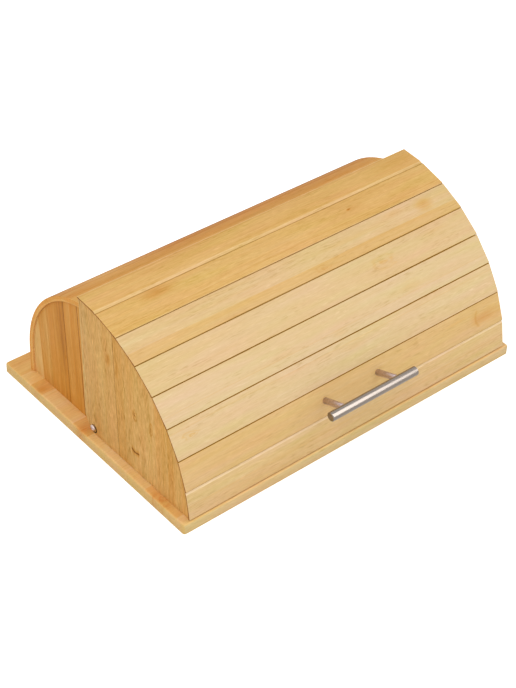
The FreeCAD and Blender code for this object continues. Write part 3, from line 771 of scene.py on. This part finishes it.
HANDLE_SLAT = 7
SLATS = {
    1: {"tone": 0.53, "strip": 30 * MM, "play": 0.08, "fibres": 0.35, "flecks": 0.35,
        "bevel_highlight": (0.7, 0.38), "walls": (0.4 * MM, 1.0 * MM), "groove_shade": 0.5,
        "tint": (0.94, 0.94, 0.89),
        "marks": (Spot(170, 0, 60, 18, 0.08),)},
    2: {"tone": 0.50, "strip": 34 * MM, "play": 0.10, "fibres": 0.35, "flecks": 0.4,
        "bevel_highlight": (0, 0.5), "walls": (0.06 * MM, 0.2 * MM), "groove_shade": 0.55,
        "tint": (0.94, 0.94, 0.88),
        "marks": (Spot(85.8, -2.5, 4, 1.8, 0.3), Spot(-133, -9, 24, 7, 0.10),
                  Spot(150, 4, 34, 7, 0.05)),
        "glows": (Spot(-132, -8.5, 30, 8, 0.35), Spot(90, -2, 20, 5, 0.2))},
    3: {"groove_shade": 0.65, "slant": -0.006, "play": 0.1, "fibres": 0.25, "flecks": 0.25,
        "laths": ((-16, 0.34), (4.2, 0.47)),
        "marks": (Spot(158, -4, 15, 11, 0.2), Spot(122, -9, 20, 5, 0.06),
                  Swirl(20, 9.6, 12, 5, 0.10))},
    4: {"tone": 0.31, "strip": 40 * MM, "play": 0.05, "streaks": 0.08, "fibres": 0.2,
        "flecks": 0.2, "groove_shade": 0.9,
        "marks": (Swirl(82, -1, 20, 10, 0.11), Spot(150, -6, 26, 6, 0.05))},
    5: {"tone": 0.25, "strip": 40 * MM, "play": 0.05, "streaks": 0.08, "fibres": 0.15,
        "flecks": 0.18,
        "marks": (Spot(96.6, -0.2, 20, 11, 0.06), Spot(4.8, 8.7, 15, 6, 0.08),
                  Spot(-60, 3, 26, 5, 0.04))},
    6: {"tone": 0.28, "strip": 40 * MM, "play": 0.05, "streaks": 0.08, "fibres": 0.2,
        "flecks": 0.25,
        "marks": (Swirl(-174, -1.5, 12, 5, 0.15), Spot(15, -4, 18, 7, 0.06))},
    7: {"tone": 0.43, "strip": 40 * MM, "play": 0.06, "fibres": 0.22, "flecks": 0.25,
        "marks": (Node(159, 0.5, -5, 9, 0.10), Spot(140, -6, 26, 3, 0.07),
                  Spot(182, 2, 36, 16, 0.12)),
        "glows": (Spot(168, 1, 20, 7, 0.3),)},
    8: {"tone": 0.39, "strip": 30 * MM, "play": 0.06, "fibres": 0.25, "flecks": 0.3,
        "bevel_highlight": (0.75, 0), "walls": (0.9 * MM, 3.5 * MM)},
}


def lid_centre():
    """Centre of the lid's arc."""
    lid = bpy.context.scene.bread_box_lid
    return PIVOT + Vector((0, lid.arc_lead, -lid.arc_drop))


def slat_leans():
    """Lean of each slat's middle and the arc it covers, from the rear one to the front."""
    lid = bpy.context.scene.bread_box_lid
    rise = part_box("base_board")[1].z + lid.front_gap - lid_centre().z
    rear = math.asin((lid.arc_lead - lid.rear_reach) / lid.arc_radius)
    front = math.pi / 2 - math.asin(rise / lid.arc_radius)
    step = (front - rear - lid.rear_arc - lid.front_arc) / (len(SLATS) - 2)
    arcs = [lid.rear_arc] + [step] * (len(SLATS) - 2) + [lid.front_arc]
    return [(rear + sum(arcs[:number]) + arc / 2, arc) for number, arc in enumerate(arcs)]


class BREADBOX_OT_slats(bpy.types.Operator):
    """Make the slats of the lid"""
    bl_idname = "breadbox.slats"
    bl_label = "Slats"

    def execute(self, context):
        lid = context.scene.bread_box_lid
        plain, drilled = slat_tree("Slat", False), slat_tree("Drilled slat", True)
        low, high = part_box("lid_slat_2")
        centre = lid_centre()
        shared = {
            "Length": high.x - low.x, "Arc_radius": lid.arc_radius,
            "Seat_radius": lid.seat_radius, "Seat_start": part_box("lid_side_right")[0].x,
            "Thickness": lid.slat_thick, "Slope": lid.bevel_slope, "Gap": lid.slat_gap,
            "Lift": lid.slat_lift, "Bow": lid.slat_bow, "Centre_Y": centre.y,
            "Centre_Z": centre.z, "Hole_radius": lid.handle_hole / 2,
            "Hole_spacing": lid.post_spacing}
        for number, (middle, arc) in enumerate(slat_leans(), start=1):
            looks = {"nodes": 0.0, "tint": (0.93, 0.95, 0.97),
                     "walls": (0.12 * MM, 0.12 * MM), **SLATS[number]}
            material = bamboo(f"Slat {number} bamboo", number, **looks)
            made = grown(
                f"slat_{number}", drilled if number == HANDLE_SLAT else plain,
                Rear_bevel=lid.front_slat_bevel if number == len(SLATS) else lid.bevel,
                Front_bevel=lid.rear_slat_bevel if number == 1 else lid.bevel,
                Lean=middle, Arc=arc, Seed=float(number), Material=material, **shared)
            eased(made, lid.slat_ease)
            upright = Matrix.Rotation(-middle, 4, "X") @ Matrix.Translation(-centre)
            face_z = lid.arc_radius * math.cos(arc / 2)
            width = 2 * lid.arc_radius * math.sin(arc / 2)

            def below_face(place):
                """Across runs to the front, and the face rises by the lift on its way."""
                _, back, up = upright @ place
                rise = lid.slat_lift * (0.5 - back / width)
                return place.x, -back, face_z + rise - up

            set_grain(made, (1, 0, 0), below_face)
            dress(made, material, "lid", [f"lid_slat_{number}"])
        return {"FINISHED"}


# ---------------------------------------------------------------- boards

# Laths are listed by their lower edge in millimetres across the board and their tone.
BASE_LATHS = ((-138, 0.38), (-125, 0.56), (-82, 0.42), (-54, 0.39), (-11, 0.42), (4, 0.56),
              (27, 0.42), (52, 0.39), (77, 0.54), (94, 0.40), (111, 0.53), (126, 0.58))
BASE_MARKS = (Spot(-194, 84, 8, 7, 0.08),)
BASE_GLOWS = (Spot(-196, 84, 12, 8, 0.2), Spot(-196, 15, 16, 11, 0.6),
              Swirl(-196, -100, 9, 15, 0.5))
SHELL_LATHS = ((-5, 0.54), (24, 0.53), (36, 0.60), (52, 0.70), (66, 0.88), (77, 0.82),
               (98, 0.72), (120, 0.78), (141, 0.68), (163, 0.74), (184, 0.70))
FIXED_LATHS = ((-30, 0.68), (27.5, 0.95), (28.4, 0.71), (46, 0.73), (50.3, 0.95), (51.2, 0.80),
               (58, 0.77), (66, 0.71), (79.3, 0.85), (80, 0.66), (93.8, 0.40))
LID_LATHS = ((-145, 0.68), (-92, 0.64), (-58, 0.67), (-47, 0.69), (-35.8, 0.94), (-35.2, 0.64),
             (-12, 0.66), (3, 0.63), (9.4, 0.80), (9.9, 0.62))
LID_MARKS = (Node(33, -58, -3, 6, 0.3), Swirl(75.7, -58, 9, 5, 0.26),
             Swirl(76, -80, 11, 4, 0.24), Spot(113, -20, 9, 5, 0.15),
             Spot(110, -33, 14, 3, 0.12))


class BREADBOX_OT_base(bpy.types.Operator):
    """Make the base board"""
    bl_idname = "breadbox.base"
    bl_label = "Base board"

    def execute(self, context):
        wood = context.scene.bread_box_wood
        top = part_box("base_board")[1].z
        made = eased(copied("base_board", "base"), wood.ease)
        set_grain(made, (1, 0, 0), lambda place: (place.x, place.y, top - place.z))
        material = bamboo("Base bamboo", 21, play=0.6, laths=BASE_LATHS, nodes=0.15,
                          flecks=0.3, tint=(1.03, 1.0, 0.92), rim=(0.87, 0.98, 1.12),
                          ends=(0.47, 0.51), marks=BASE_MARKS, glows=BASE_GLOWS)
        dress(made, material, "box", ["base_board"])
        return {"FINISHED"}


class BREADBOX_OT_shell(bpy.types.Operator):
    """Make the bent rear shell"""
    bl_idname = "breadbox.shell"
    bl_label = "Rear shell"

    def execute(self, context):
        wood = context.scene.bread_box_wood
        low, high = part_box("rear_shell")
        centre_y = low.y
        radius = high.y - centre_y
        centre_z = high.z - radius

        def wrap(place):
            """Unroll the bend: across runs from the upper edge, back and down."""
            if place.z < centre_z:
                return place.x, radius * math.pi / 2 + centre_z - place.z, high.y - place.y
            out = Vector((place.y - centre_y, place.z - centre_z))
            turn = math.atan2(out.x, out.y)
            return place.x, radius * turn, radius - out.length

        material = bamboo("Bent back bamboo", 31, play=0.4, laths=SHELL_LATHS,
                          plies=2.2 * MM, ends=(0.62, 0.52), gloss=0.03, nodes=0.15,
                          tint=(0.98, 0.86, 0.69), cast=(0.03, -0.03, -0.06),
                          marks=(Spot(-140, 62, 90, 24, -0.20),))
        made = grown("shell", shell_tree(), Length=high.x - low.x, Radius=radius,
                     Thickness=wood.shell_thick, Foot=centre_z - low.z, Centre_Y=centre_y,
                     Centre_Z=centre_z, Material=material)
        eased(made, wood.ease)
        set_grain(made, (1, 0, 0), wrap)
        dress(made, material, "box", ["rear_shell"])
        return {"FINISHED"}


class BREADBOX_OT_fixed_sides(bpy.types.Operator):
    """Make the fixed sides under the rear shell"""
    bl_idname = "breadbox.fixed_sides"
    bl_label = "Fixed sides"

    def execute(self, context):
        material = bamboo("Fixed side bamboo", 41, slant=-0.06, laths=FIXED_LATHS,
                          streaks=0.2, fibres=0.6, flecks=0.3, gloss=0.05, nodes=0.0,
                          tint=(0.95, 0.90, 0.75), cast=(0.02, -0.03, -0.06))
        for side, sign in SIDES.items():
            upright_board(f"fixed_side_{side}", f"fixed_{side}", sign, "box",
                          material)
        return {"FINISHED"}


class BREADBOX_OT_lid_sides(bpy.types.Operator):
    """Make the sides of the lid"""
    bl_idname = "breadbox.lid_sides"
    bl_label = "Lid sides"

    def execute(self, context):
        for side, sign in SIDES.items():
            material = bamboo(
                f"Lid side bamboo {side}", 52 + sign, slant=-0.06, laths=LID_LATHS,
                streaks=0.12, fibres=0.4, flecks=1.1, dashes=0.3, gloss=0.05, nodes=0.0,
                tint=(0.92, 1.0, 1.10), cast=(-0.03, 0.05, 0.04), ends=(0.5, 0.55),
                marks=LID_MARKS if side == "left" else ())
            upright_board(f"lid_side_{side}", f"lid_end_{side}", sign, "lid",
                          material)
        return {"FINISHED"}


# ---------------------------------------------------------------- metal pieces

def turned(tree, stations, sides=64):
    """Solid turned about Z through (radius, height) stations in rising order."""
    line = tree.add("GeometryNodeMeshLine", {}, {"Count": len(stations)})["Mesh"]
    apart = 0.001 * MM              # keeps stations of one height from falling together
    heights = [tree.vector(0.0, 0.0, height + number * apart)
               for number, (_, height) in enumerate(stations)]
    line = tree.add("GeometryNodeSetPosition", {}, {
        "Geometry": line, "Position": tree.pick(heights, "VECTOR")})[0]
    path = tree.add("GeometryNodeMeshToCurve", {}, {"Mesh": line})[0]
    circle = tree.add("GeometryNodeCurvePrimitiveCircle", {}, {
        "Resolution": sides, "Radius": 1.0})["Curve"]
    return tree.add("GeometryNodeCurveToMesh", {}, {
        "Curve": path, "Profile Curve": circle, "Fill Caps": True,
        "Scale": tree.pick([radius for radius, _ in stations], "FLOAT")})[0]


def thread(tree, core, reach, pitch, start, length):
    """Ridge wound round a core, from a height upwards."""
    winding = tree.add("GeometryNodeCurveSpiral", {}, {
        "Resolution": 24, "Rotations": length / pitch, "Start Radius": core,
        "End Radius": core, "Height": length})["Curve"]
    ridge = tree.add("GeometryNodeCurvePrimitiveCircle", {}, {
        "Resolution": 4, "Radius": reach - core})["Curve"]
    wound = tree.add("GeometryNodeCurveToMesh", {}, {
        "Curve": winding, "Profile Curve": ridge, "Fill Caps": True})[0]
    return moved(tree, wound, tree.vector(0.0, 0.0, start))


DOME = (15, 30, 45, 60, 75, 88)     # degrees up a screw's rounded head, for its rings


def screw_tree(name, cross):
    """A screw with its head's seat at the origin and its head up. cross picks a cross
    recess, else a hexagon socket."""
    group, tree, given = new_tree(name, (
        "Head radius", "Head height", "Rim", "Cone", "Shank radius", "Core radius", "Length",
        "Tip", "Tip radius", "Plain", "Pitch", "Socket width", "Socket depth"),
        ("Place", "Turn"))
    head, height, rim = given["Head radius"], given["Head height"], given["Rim"]
    shank, core, length = given["Shank radius"], given["Core radius"], given["Length"]
    stations = [(given["Tip radius"], -length), (core, given["Tip"] - length),
                (core, -given["Plain"]), (shank, -given["Plain"]), (shank, -given["Cone"]),
                (head, tree.number(0.0)), (head, rim)]
    for rise in DOME:
        angle = math.radians(rise)
        stations.append((head * math.cos(angle), rim + (height - rim) * math.sin(angle)))
    screw = turned(tree, stations)
    top = tree.vector(0.0, 0.0, height)
    depth = given["Socket depth"] * 2
    width = given["Socket width"]
    if cross:
        arm = width * 0.28
        recess = joined(tree, *(
            tree.add("GeometryNodeMeshCube", {}, {"Size": tree.vector(*sides, depth)})["Mesh"]
            for sides in ((width, arm), (arm, width))))
        union = tree.add("GeometryNodeMeshBoolean", {"operation": "UNION", "solver": "EXACT"})
        tree.tree.links.new(recess.socket, union.node.inputs["Mesh 2"])
        recess = union["Mesh"]
    else:
        recess = cylinder(tree, width / math.sqrt(3), depth, 6)
    screw = cut_away(tree, screw, moved(tree, recess, top))
    start = given["Tip"] - length
    ridge = thread(tree, core, shank, given["Pitch"], start, -given["Plain"] - start)
    whole = joined(tree, screw, ridge)
    close_tree(tree, given, moved(tree, whole, given["Place"], given["Turn"]))
    return group


def ring_tree(name, threaded):
    """A ring, or a sleeve with a thread outside, from its seat at the origin upwards."""
    group, tree, given = new_tree(name, (
        "Bore radius", "Rim radius", "Thickness", "Edge", "Ridge radius", "Pitch"),
        ("Place", "Turn"))
    rim, thick, edge = given["Rim radius"], given["Thickness"], given["Edge"]
    ring = turned(tree, [(rim - edge, tree.number(0.0)), (rim, edge),
                         (rim, thick - edge), (rim - edge, thick)])
    ring = cut_away(tree, ring, cylinder(tree, given["Bore radius"], thick * 4, 64))
    if threaded:
        pitch = given["Pitch"]
        ridge = thread(tree, rim, given["Ridge radius"], pitch, pitch / 2, thick - pitch)
        ring = joined(tree, ring, ridge)
    close_tree(tree, given, moved(tree, ring, given["Place"], given["Turn"]))
    return group


def rod_tree():
    """A bar along X with bevelled ends."""
    group, tree, given = new_tree("Rod", ("Radius", "Length", "Bevel"), ("Place",))
    radius, half, bevel = given["Radius"], given["Length"] / 2, given["Bevel"]
    rod = turned(tree, [(radius - bevel, -half), (radius, bevel - half),
                        (radius, half - bevel), (radius - bevel, half)], 96)
    close_tree(tree, given, moved(tree, rod, given["Place"], (0, math.pi / 2, 0)))
    return group


def fit(name, group, material, body, nodes, slot, **inputs):
    """Finished metal or plastic piece from a tree, smooth but for edges over 25 degrees."""
    made = grown(name, group, Material=material, **inputs)
    for face in made.data.polygons:
        face.use_smooth = True
    made.data.set_sharp_from_angle(angle=math.radians(25))
    dress(made, material, body, nodes)


MACHINE_SCREW = {
    "Cone": 0.0, "Shank_radius": 2.0 * MM, "Core_radius": 1.6 * MM, "Tip": 0.6 * MM,
    "Tip_radius": 1.2 * MM, "Pitch": 0.7 * MM, "Socket_depth": 1.2 * MM}
HANDLE_SCREW = {
    **MACHINE_SCREW, "Head_radius": 3.7 * MM, "Head_height": 2.2 * MM, "Rim": 0.9 * MM,
    "Length": 13 * MM, "Plain": 4 * MM, "Socket_width": 4 * MM}
PIVOT_SCREW = {
    **MACHINE_SCREW, "Head_radius": 3.3 * MM, "Head_height": 2.2 * MM, "Rim": 0.7 * MM,
    "Socket_width": 2.5 * MM}
WOOD_SCREW = {
    "Head_radius": 3.2 * MM, "Head_height": 0.04 * MM, "Rim": 0.02 * MM, "Cone": 1.5 * MM,
    "Shank_radius": 1.7 * MM, "Core_radius": 1.1 * MM, "Tip": 4 * MM, "Tip_radius": 0.1 * MM,
    "Plain": 9 * MM, "Pitch": 1.6 * MM, "Socket_width": 4 * MM, "Socket_depth": 1.2 * MM}
# Painted shadow: a black ring hung off each pivot screw's axis shows as a dark crescent beside
# the head, where there is only shadow
SHADOW_RING = {"Bore_radius": 3.3 * MM, "Rim_radius": 4.4 * MM, "Edge": 0.02 * MM}
SHADOW_RING_HANG = Vector((0, -0.9, -0.6)) * MM        # the ring hangs off the screw's axis
SHADOW_RING_PLAY = (0.03 * MM, 0.02 * MM)              # under the ring and over it
WASHER = {"Bore_radius": 2.05 * MM, "Rim_radius": 5.5 * MM, "Edge": 0.3 * MM}
SLEEVE = {
    "Bore_radius": 2.05 * MM, "Rim_radius": 3 * MM, "Thickness": 8 * MM, "Edge": 0.3 * MM,
    "Ridge_radius": 3.5 * MM, "Pitch": 1.2 * MM}
FINE_GRAIN = (900, 900, 900)


class BREADBOX_OT_handle(bpy.types.Operator):
    """Make the handle's bar, posts and screws"""
    bl_idname = "breadbox.handle"
    bl_label = "Handle"

    def execute(self, context):
        lid = context.scene.bread_box_lid
        metal = context.scene.bread_box_metal
        bar_steel = metal_finish("Bar steel", metal.steel, (40, 3000, 3000), 0.13, dull=0.85,
                                 spread=0.08)
        post_steel = metal_finish("Post steel", metal.post, FINE_GRAIN, 0.25)
        lean, arc = slat_leans()[HANDLE_SLAT - 1]
        out = Vector((0, -math.sin(lean), math.cos(lean)))
        face = lid_centre() + out * (lid.arc_radius * math.cos(arc / 2))

        low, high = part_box("handle_bar")
        fit("bar", rod_tree(), bar_steel, "lid", ["handle_bar"], "steel_bar",
            Radius=(high.z - low.z) / 2, Length=high.x - low.x, Bevel=lid.bar_bevel,
            Place=face + out * lid.bar_stand)

        screws = screw_tree("Cross-head screw", True)
        for side, sign in SIDES.items():
            made = eased(copied(f"handle_post_{side}", f"post_{side}"), metal.ease)
            dress(made, post_steel, "lid", [f"handle_post_{side}"])
            seat = face - out * lid.slat_thick + Vector((sign * lid.post_spacing / 2, 0, 0))
            fit(f"handle_fixing_{side}", screws, post_steel, "lid",
                [f"handle_screw_{side}"], "steel_screw", Place=seat,
                Turn=(lean + math.pi, 0, 0), **HANDLE_SCREW)
        return {"FINISHED"}


def outermost(node):
    """How far a node's outer face lies from the middle of the box."""
    return max(abs(corner.x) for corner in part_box(node))


class BREADBOX_OT_pivots(bpy.types.Operator):
    """Make the pivot screws, their washers and inserts, and black rings of painted shadow beside
    their heads
    """
    bl_idname = "breadbox.pivots"
    bl_label = "Pivots"

    def execute(self, context):
        metal = context.scene.bread_box_metal
        steel = metal_finish("Screw steel", metal.screw, FINE_GRAIN, 0.2)
        shadow_black = metal_finish("Shadow ring black", metal.ring, FINE_GRAIN, 0.5)
        brass = metal_finish("Turned brass", metal.brass, (4000, 300, 300), 0.28, dull=0.6)
        nylon = moulded_nylon("Washer nylon", metal.nylon)
        screws = screw_tree("Socket screw", False)
        rings, sleeves = ring_tree("Ring", False), ring_tree("Sleeve", True)
        under, over = SHADOW_RING_PLAY
        for side, sign in SIDES.items():
            face = outermost(f"fixed_side_{side}")
            seat = outermost(f"lid_side_{side}")
            head_seat = outermost(f"pivot_screw_{side}") - PIVOT_SCREW["Head_height"]
            tip = min(abs(corner.x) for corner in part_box(f"pivot_screw_{side}"))
            turn = (0, sign * math.pi / 2, 0)

            def on_axis(distance):
                return Vector((sign * distance, PIVOT.y, PIVOT.z))

            fit(f"pivot_{side}", screws, steel, "box", [f"pivot_screw_{side}"], "steel_screw",
                Place=on_axis(head_seat), Turn=turn, Length=head_seat - tip,
                Plain=head_seat - face, **PIVOT_SCREW)
            # Black ring of painted shadow beside the screw's head
            fit(f"pivot_ring_{side}", rings, shadow_black, "box", [], "steel_screw",
                Place=on_axis(seat + under) + SHADOW_RING_HANG, Turn=turn,
                Thickness=head_seat - seat - under - over, **SHADOW_RING)
            fit(f"insert_{side}", sleeves, brass, "box", [f"pivot_insert_{side}"],
                "brass_insert", Place=on_axis(face - SLEEVE["Thickness"]), Turn=turn,
                **SLEEVE)
            fit(f"washer_{side}", rings, nylon, "box", [f"pivot_washer_{side}"],
                "nylon_washer", Place=on_axis(face), Turn=turn,
                Thickness=outermost(f"pivot_washer_{side}") - face, **WASHER)
        return {"FINISHED"}


class BREADBOX_OT_base_screws(bpy.types.Operator):
    """Make the wood screws under the base board"""
    bl_idname = "breadbox.base_screws"
    bl_label = "Base screws"

    def execute(self, context):
        metal = context.scene.bread_box_metal
        steel = metal_finish("Wood screw steel", metal.post, FINE_GRAIN, 0.3)
        screws = screw_tree("Wood screw", True)
        for side in SIDES:
            for number in (1, 2, 3):
                node = f"base_screw_{side}_{number}"
                low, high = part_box(node)
                middle = (low + high) / 2
                fit(f"wood_screw_{side}_{number}", screws, steel, "box", [node],
                    "steel_screw", Place=(middle.x, middle.y, low.z),
                    Turn=(math.pi, 0, 0), Length=high.z - low.z, **WOOD_SCREW)
        return {"FINISHED"}


# ---------------------------------------------------------------- stage

AIM = (0.0, -0.05, 0.06)        # what the lamps point at
LAMPS = (                       # place, lengths of the sides, power, way the longer side runs
    ("Key lamp", (1.17, -1.43, 1.50), (0.42, 3.0), 14.0, (0, 0.73, 0.68)),
    ("Top lamp", (-1.5, -0.6, 1.9), (1.4, 1.4), 23.0, (0, 1, 0)),
)
AMBIENT = 0.60                  # the world's strength for light that falls on the object
FLOOR_HALF = 6.0
FLOOR_GLOW = 0.55               # for the camera alone
CAMERA_RIGHT = Vector((0.7663, -0.6416, 0.0341))
CAMERA_DOWN = Vector((-0.3862, -0.5023, -0.7737))
SENSOR_WIDTH = 36.0             # millimetres


def add_lamp(name, place, sides, power, run):
    """Soft box of two sides' lengths; run is the direction that its longer side follows."""
    data = bpy.data.lights.new(name, "AREA")
    data.shape = "RECTANGLE"
    data.size, data.size_y = sides
    data.energy = power
    back = (Vector(place) - Vector(AIM)).normalized()
    across = Vector(run).cross(back).normalized()
    axes = Matrix((across, back.cross(across), back)).transposed().to_4x4()
    new_object(name, data).matrix_world = Matrix.Translation(place) @ axes


def light_world(scene):
    """White surroundings that the camera and reflections see brighter than the light is."""
    world = bpy.data.worlds.new("Studio")
    world.use_nodes = True
    scene.world = world
    world.node_tree.nodes.clear()
    tree = Tree(world.node_tree)
    rays = tree.add("ShaderNodeLightPath")
    seen = rays["Is Camera Ray"] + rays["Is Glossy Ray"] + rays["Is Transmission Ray"]
    sky = tree.add("ShaderNodeBackground", {}, {
        "Color": (1, 1, 1, 1), "Strength": AMBIENT + seen.clamped() * (1 - AMBIENT)})
    tree.add("ShaderNodeOutputWorld", {}, {"Surface": sky["Background"]})


def lay_floor(shade):
    """Pale floor that keeps the shadow."""
    half = FLOOR_HALF
    mesh = bpy.data.meshes.new("floor")
    corners = [(-half, -half, 0), (half, -half, 0), (half, half, 0), (-half, half, 0)]
    mesh.from_pydata(corners, [], [(0, 1, 2, 3)])
    made, tree, shader = new_material("Floor", **{
        "Base Color": linear(shade), "Roughness": 0.9, "Emission Color": (1, 1, 1, 1)})
    glow = tree.add("ShaderNodeLightPath")["Is Camera Ray"] * FLOOR_GLOW
    feed(tree, shader, Emission_Strength=glow)
    mesh.materials.append(made)
    new_object("floor", mesh)


def stand_camera(scene, eye, lens):
    """Camera at the eye, with its right and down along CAMERA_RIGHT and CAMERA_DOWN."""
    data = bpy.data.cameras.new("Camera")
    data.lens = lens
    data.sensor_width = SENSOR_WIDTH
    back = CAMERA_DOWN.cross(CAMERA_RIGHT).normalized()
    axes = Matrix((CAMERA_RIGHT, -CAMERA_DOWN, back)).transposed().to_4x4()
    scene.camera = new_object("Camera", data)
    scene.camera.matrix_world = Matrix.Translation(eye) @ axes


class BREADBOX_OT_stage(bpy.types.Operator):
    """Make the floor, the lamps and the camera"""
    bl_idname = "breadbox.stage"
    bl_label = "Stage"

    def execute(self, context):
        scene = context.scene
        stage = scene.bread_box_stage
        scene.view_settings.view_transform = "Standard"
        light_world(scene)
        lay_floor(stage.floor)
        for lamp in LAMPS:
            add_lamp(*lamp)
        stand_camera(scene, stage.eye, stage.lens)
        return {"FINISHED"}


# ---------------------------------------------------------------- add-on

SETTINGS = {
    "bread_box_lid": BreadBoxLid,
    "bread_box_wood": BreadBoxWood,
    "bread_box_metal": BreadBoxMetal,
    "bread_box_stage": BreadBoxStage,
}
OPERATORS = (BREADBOX_OT_base, BREADBOX_OT_shell, BREADBOX_OT_fixed_sides,
             BREADBOX_OT_lid_sides, BREADBOX_OT_slats, BREADBOX_OT_handle,
             BREADBOX_OT_pivots, BREADBOX_OT_base_screws, BREADBOX_OT_stage)


class BREADBOX_PT_panel(bpy.types.Panel):
    """Lists the bread box's pieces"""
    bl_idname = "BREADBOX_PT_panel"
    bl_label = "Bread Box"
    bl_space_type = "VIEW_3D"
    bl_region_type = "UI"
    bl_category = "Bread Box"

    def draw(self, context):
        for operator in OPERATORS:
            self.layout.operator(operator.bl_idname)


def register():
    for group in SETTINGS.values():
        bpy.utils.register_class(group)
    for name, group in SETTINGS.items():
        setattr(bpy.types.Scene, name, bpy.props.PointerProperty(type=group))
    for item in (*OPERATORS, BREADBOX_PT_panel):
        bpy.utils.register_class(item)


def unregister():
    for item in reversed((*OPERATORS, BREADBOX_PT_panel)):
        bpy.utils.unregister_class(item)
    for name in SETTINGS:
        delattr(bpy.types.Scene, name)
    for group in SETTINGS.values():
        bpy.utils.unregister_class(group)


def main():
    register()
    for operator in OPERATORS:
        _, name = operator.bl_idname.split(".")
        getattr(bpy.ops.breadbox, name)()


if __name__ == "__main__":
    main()
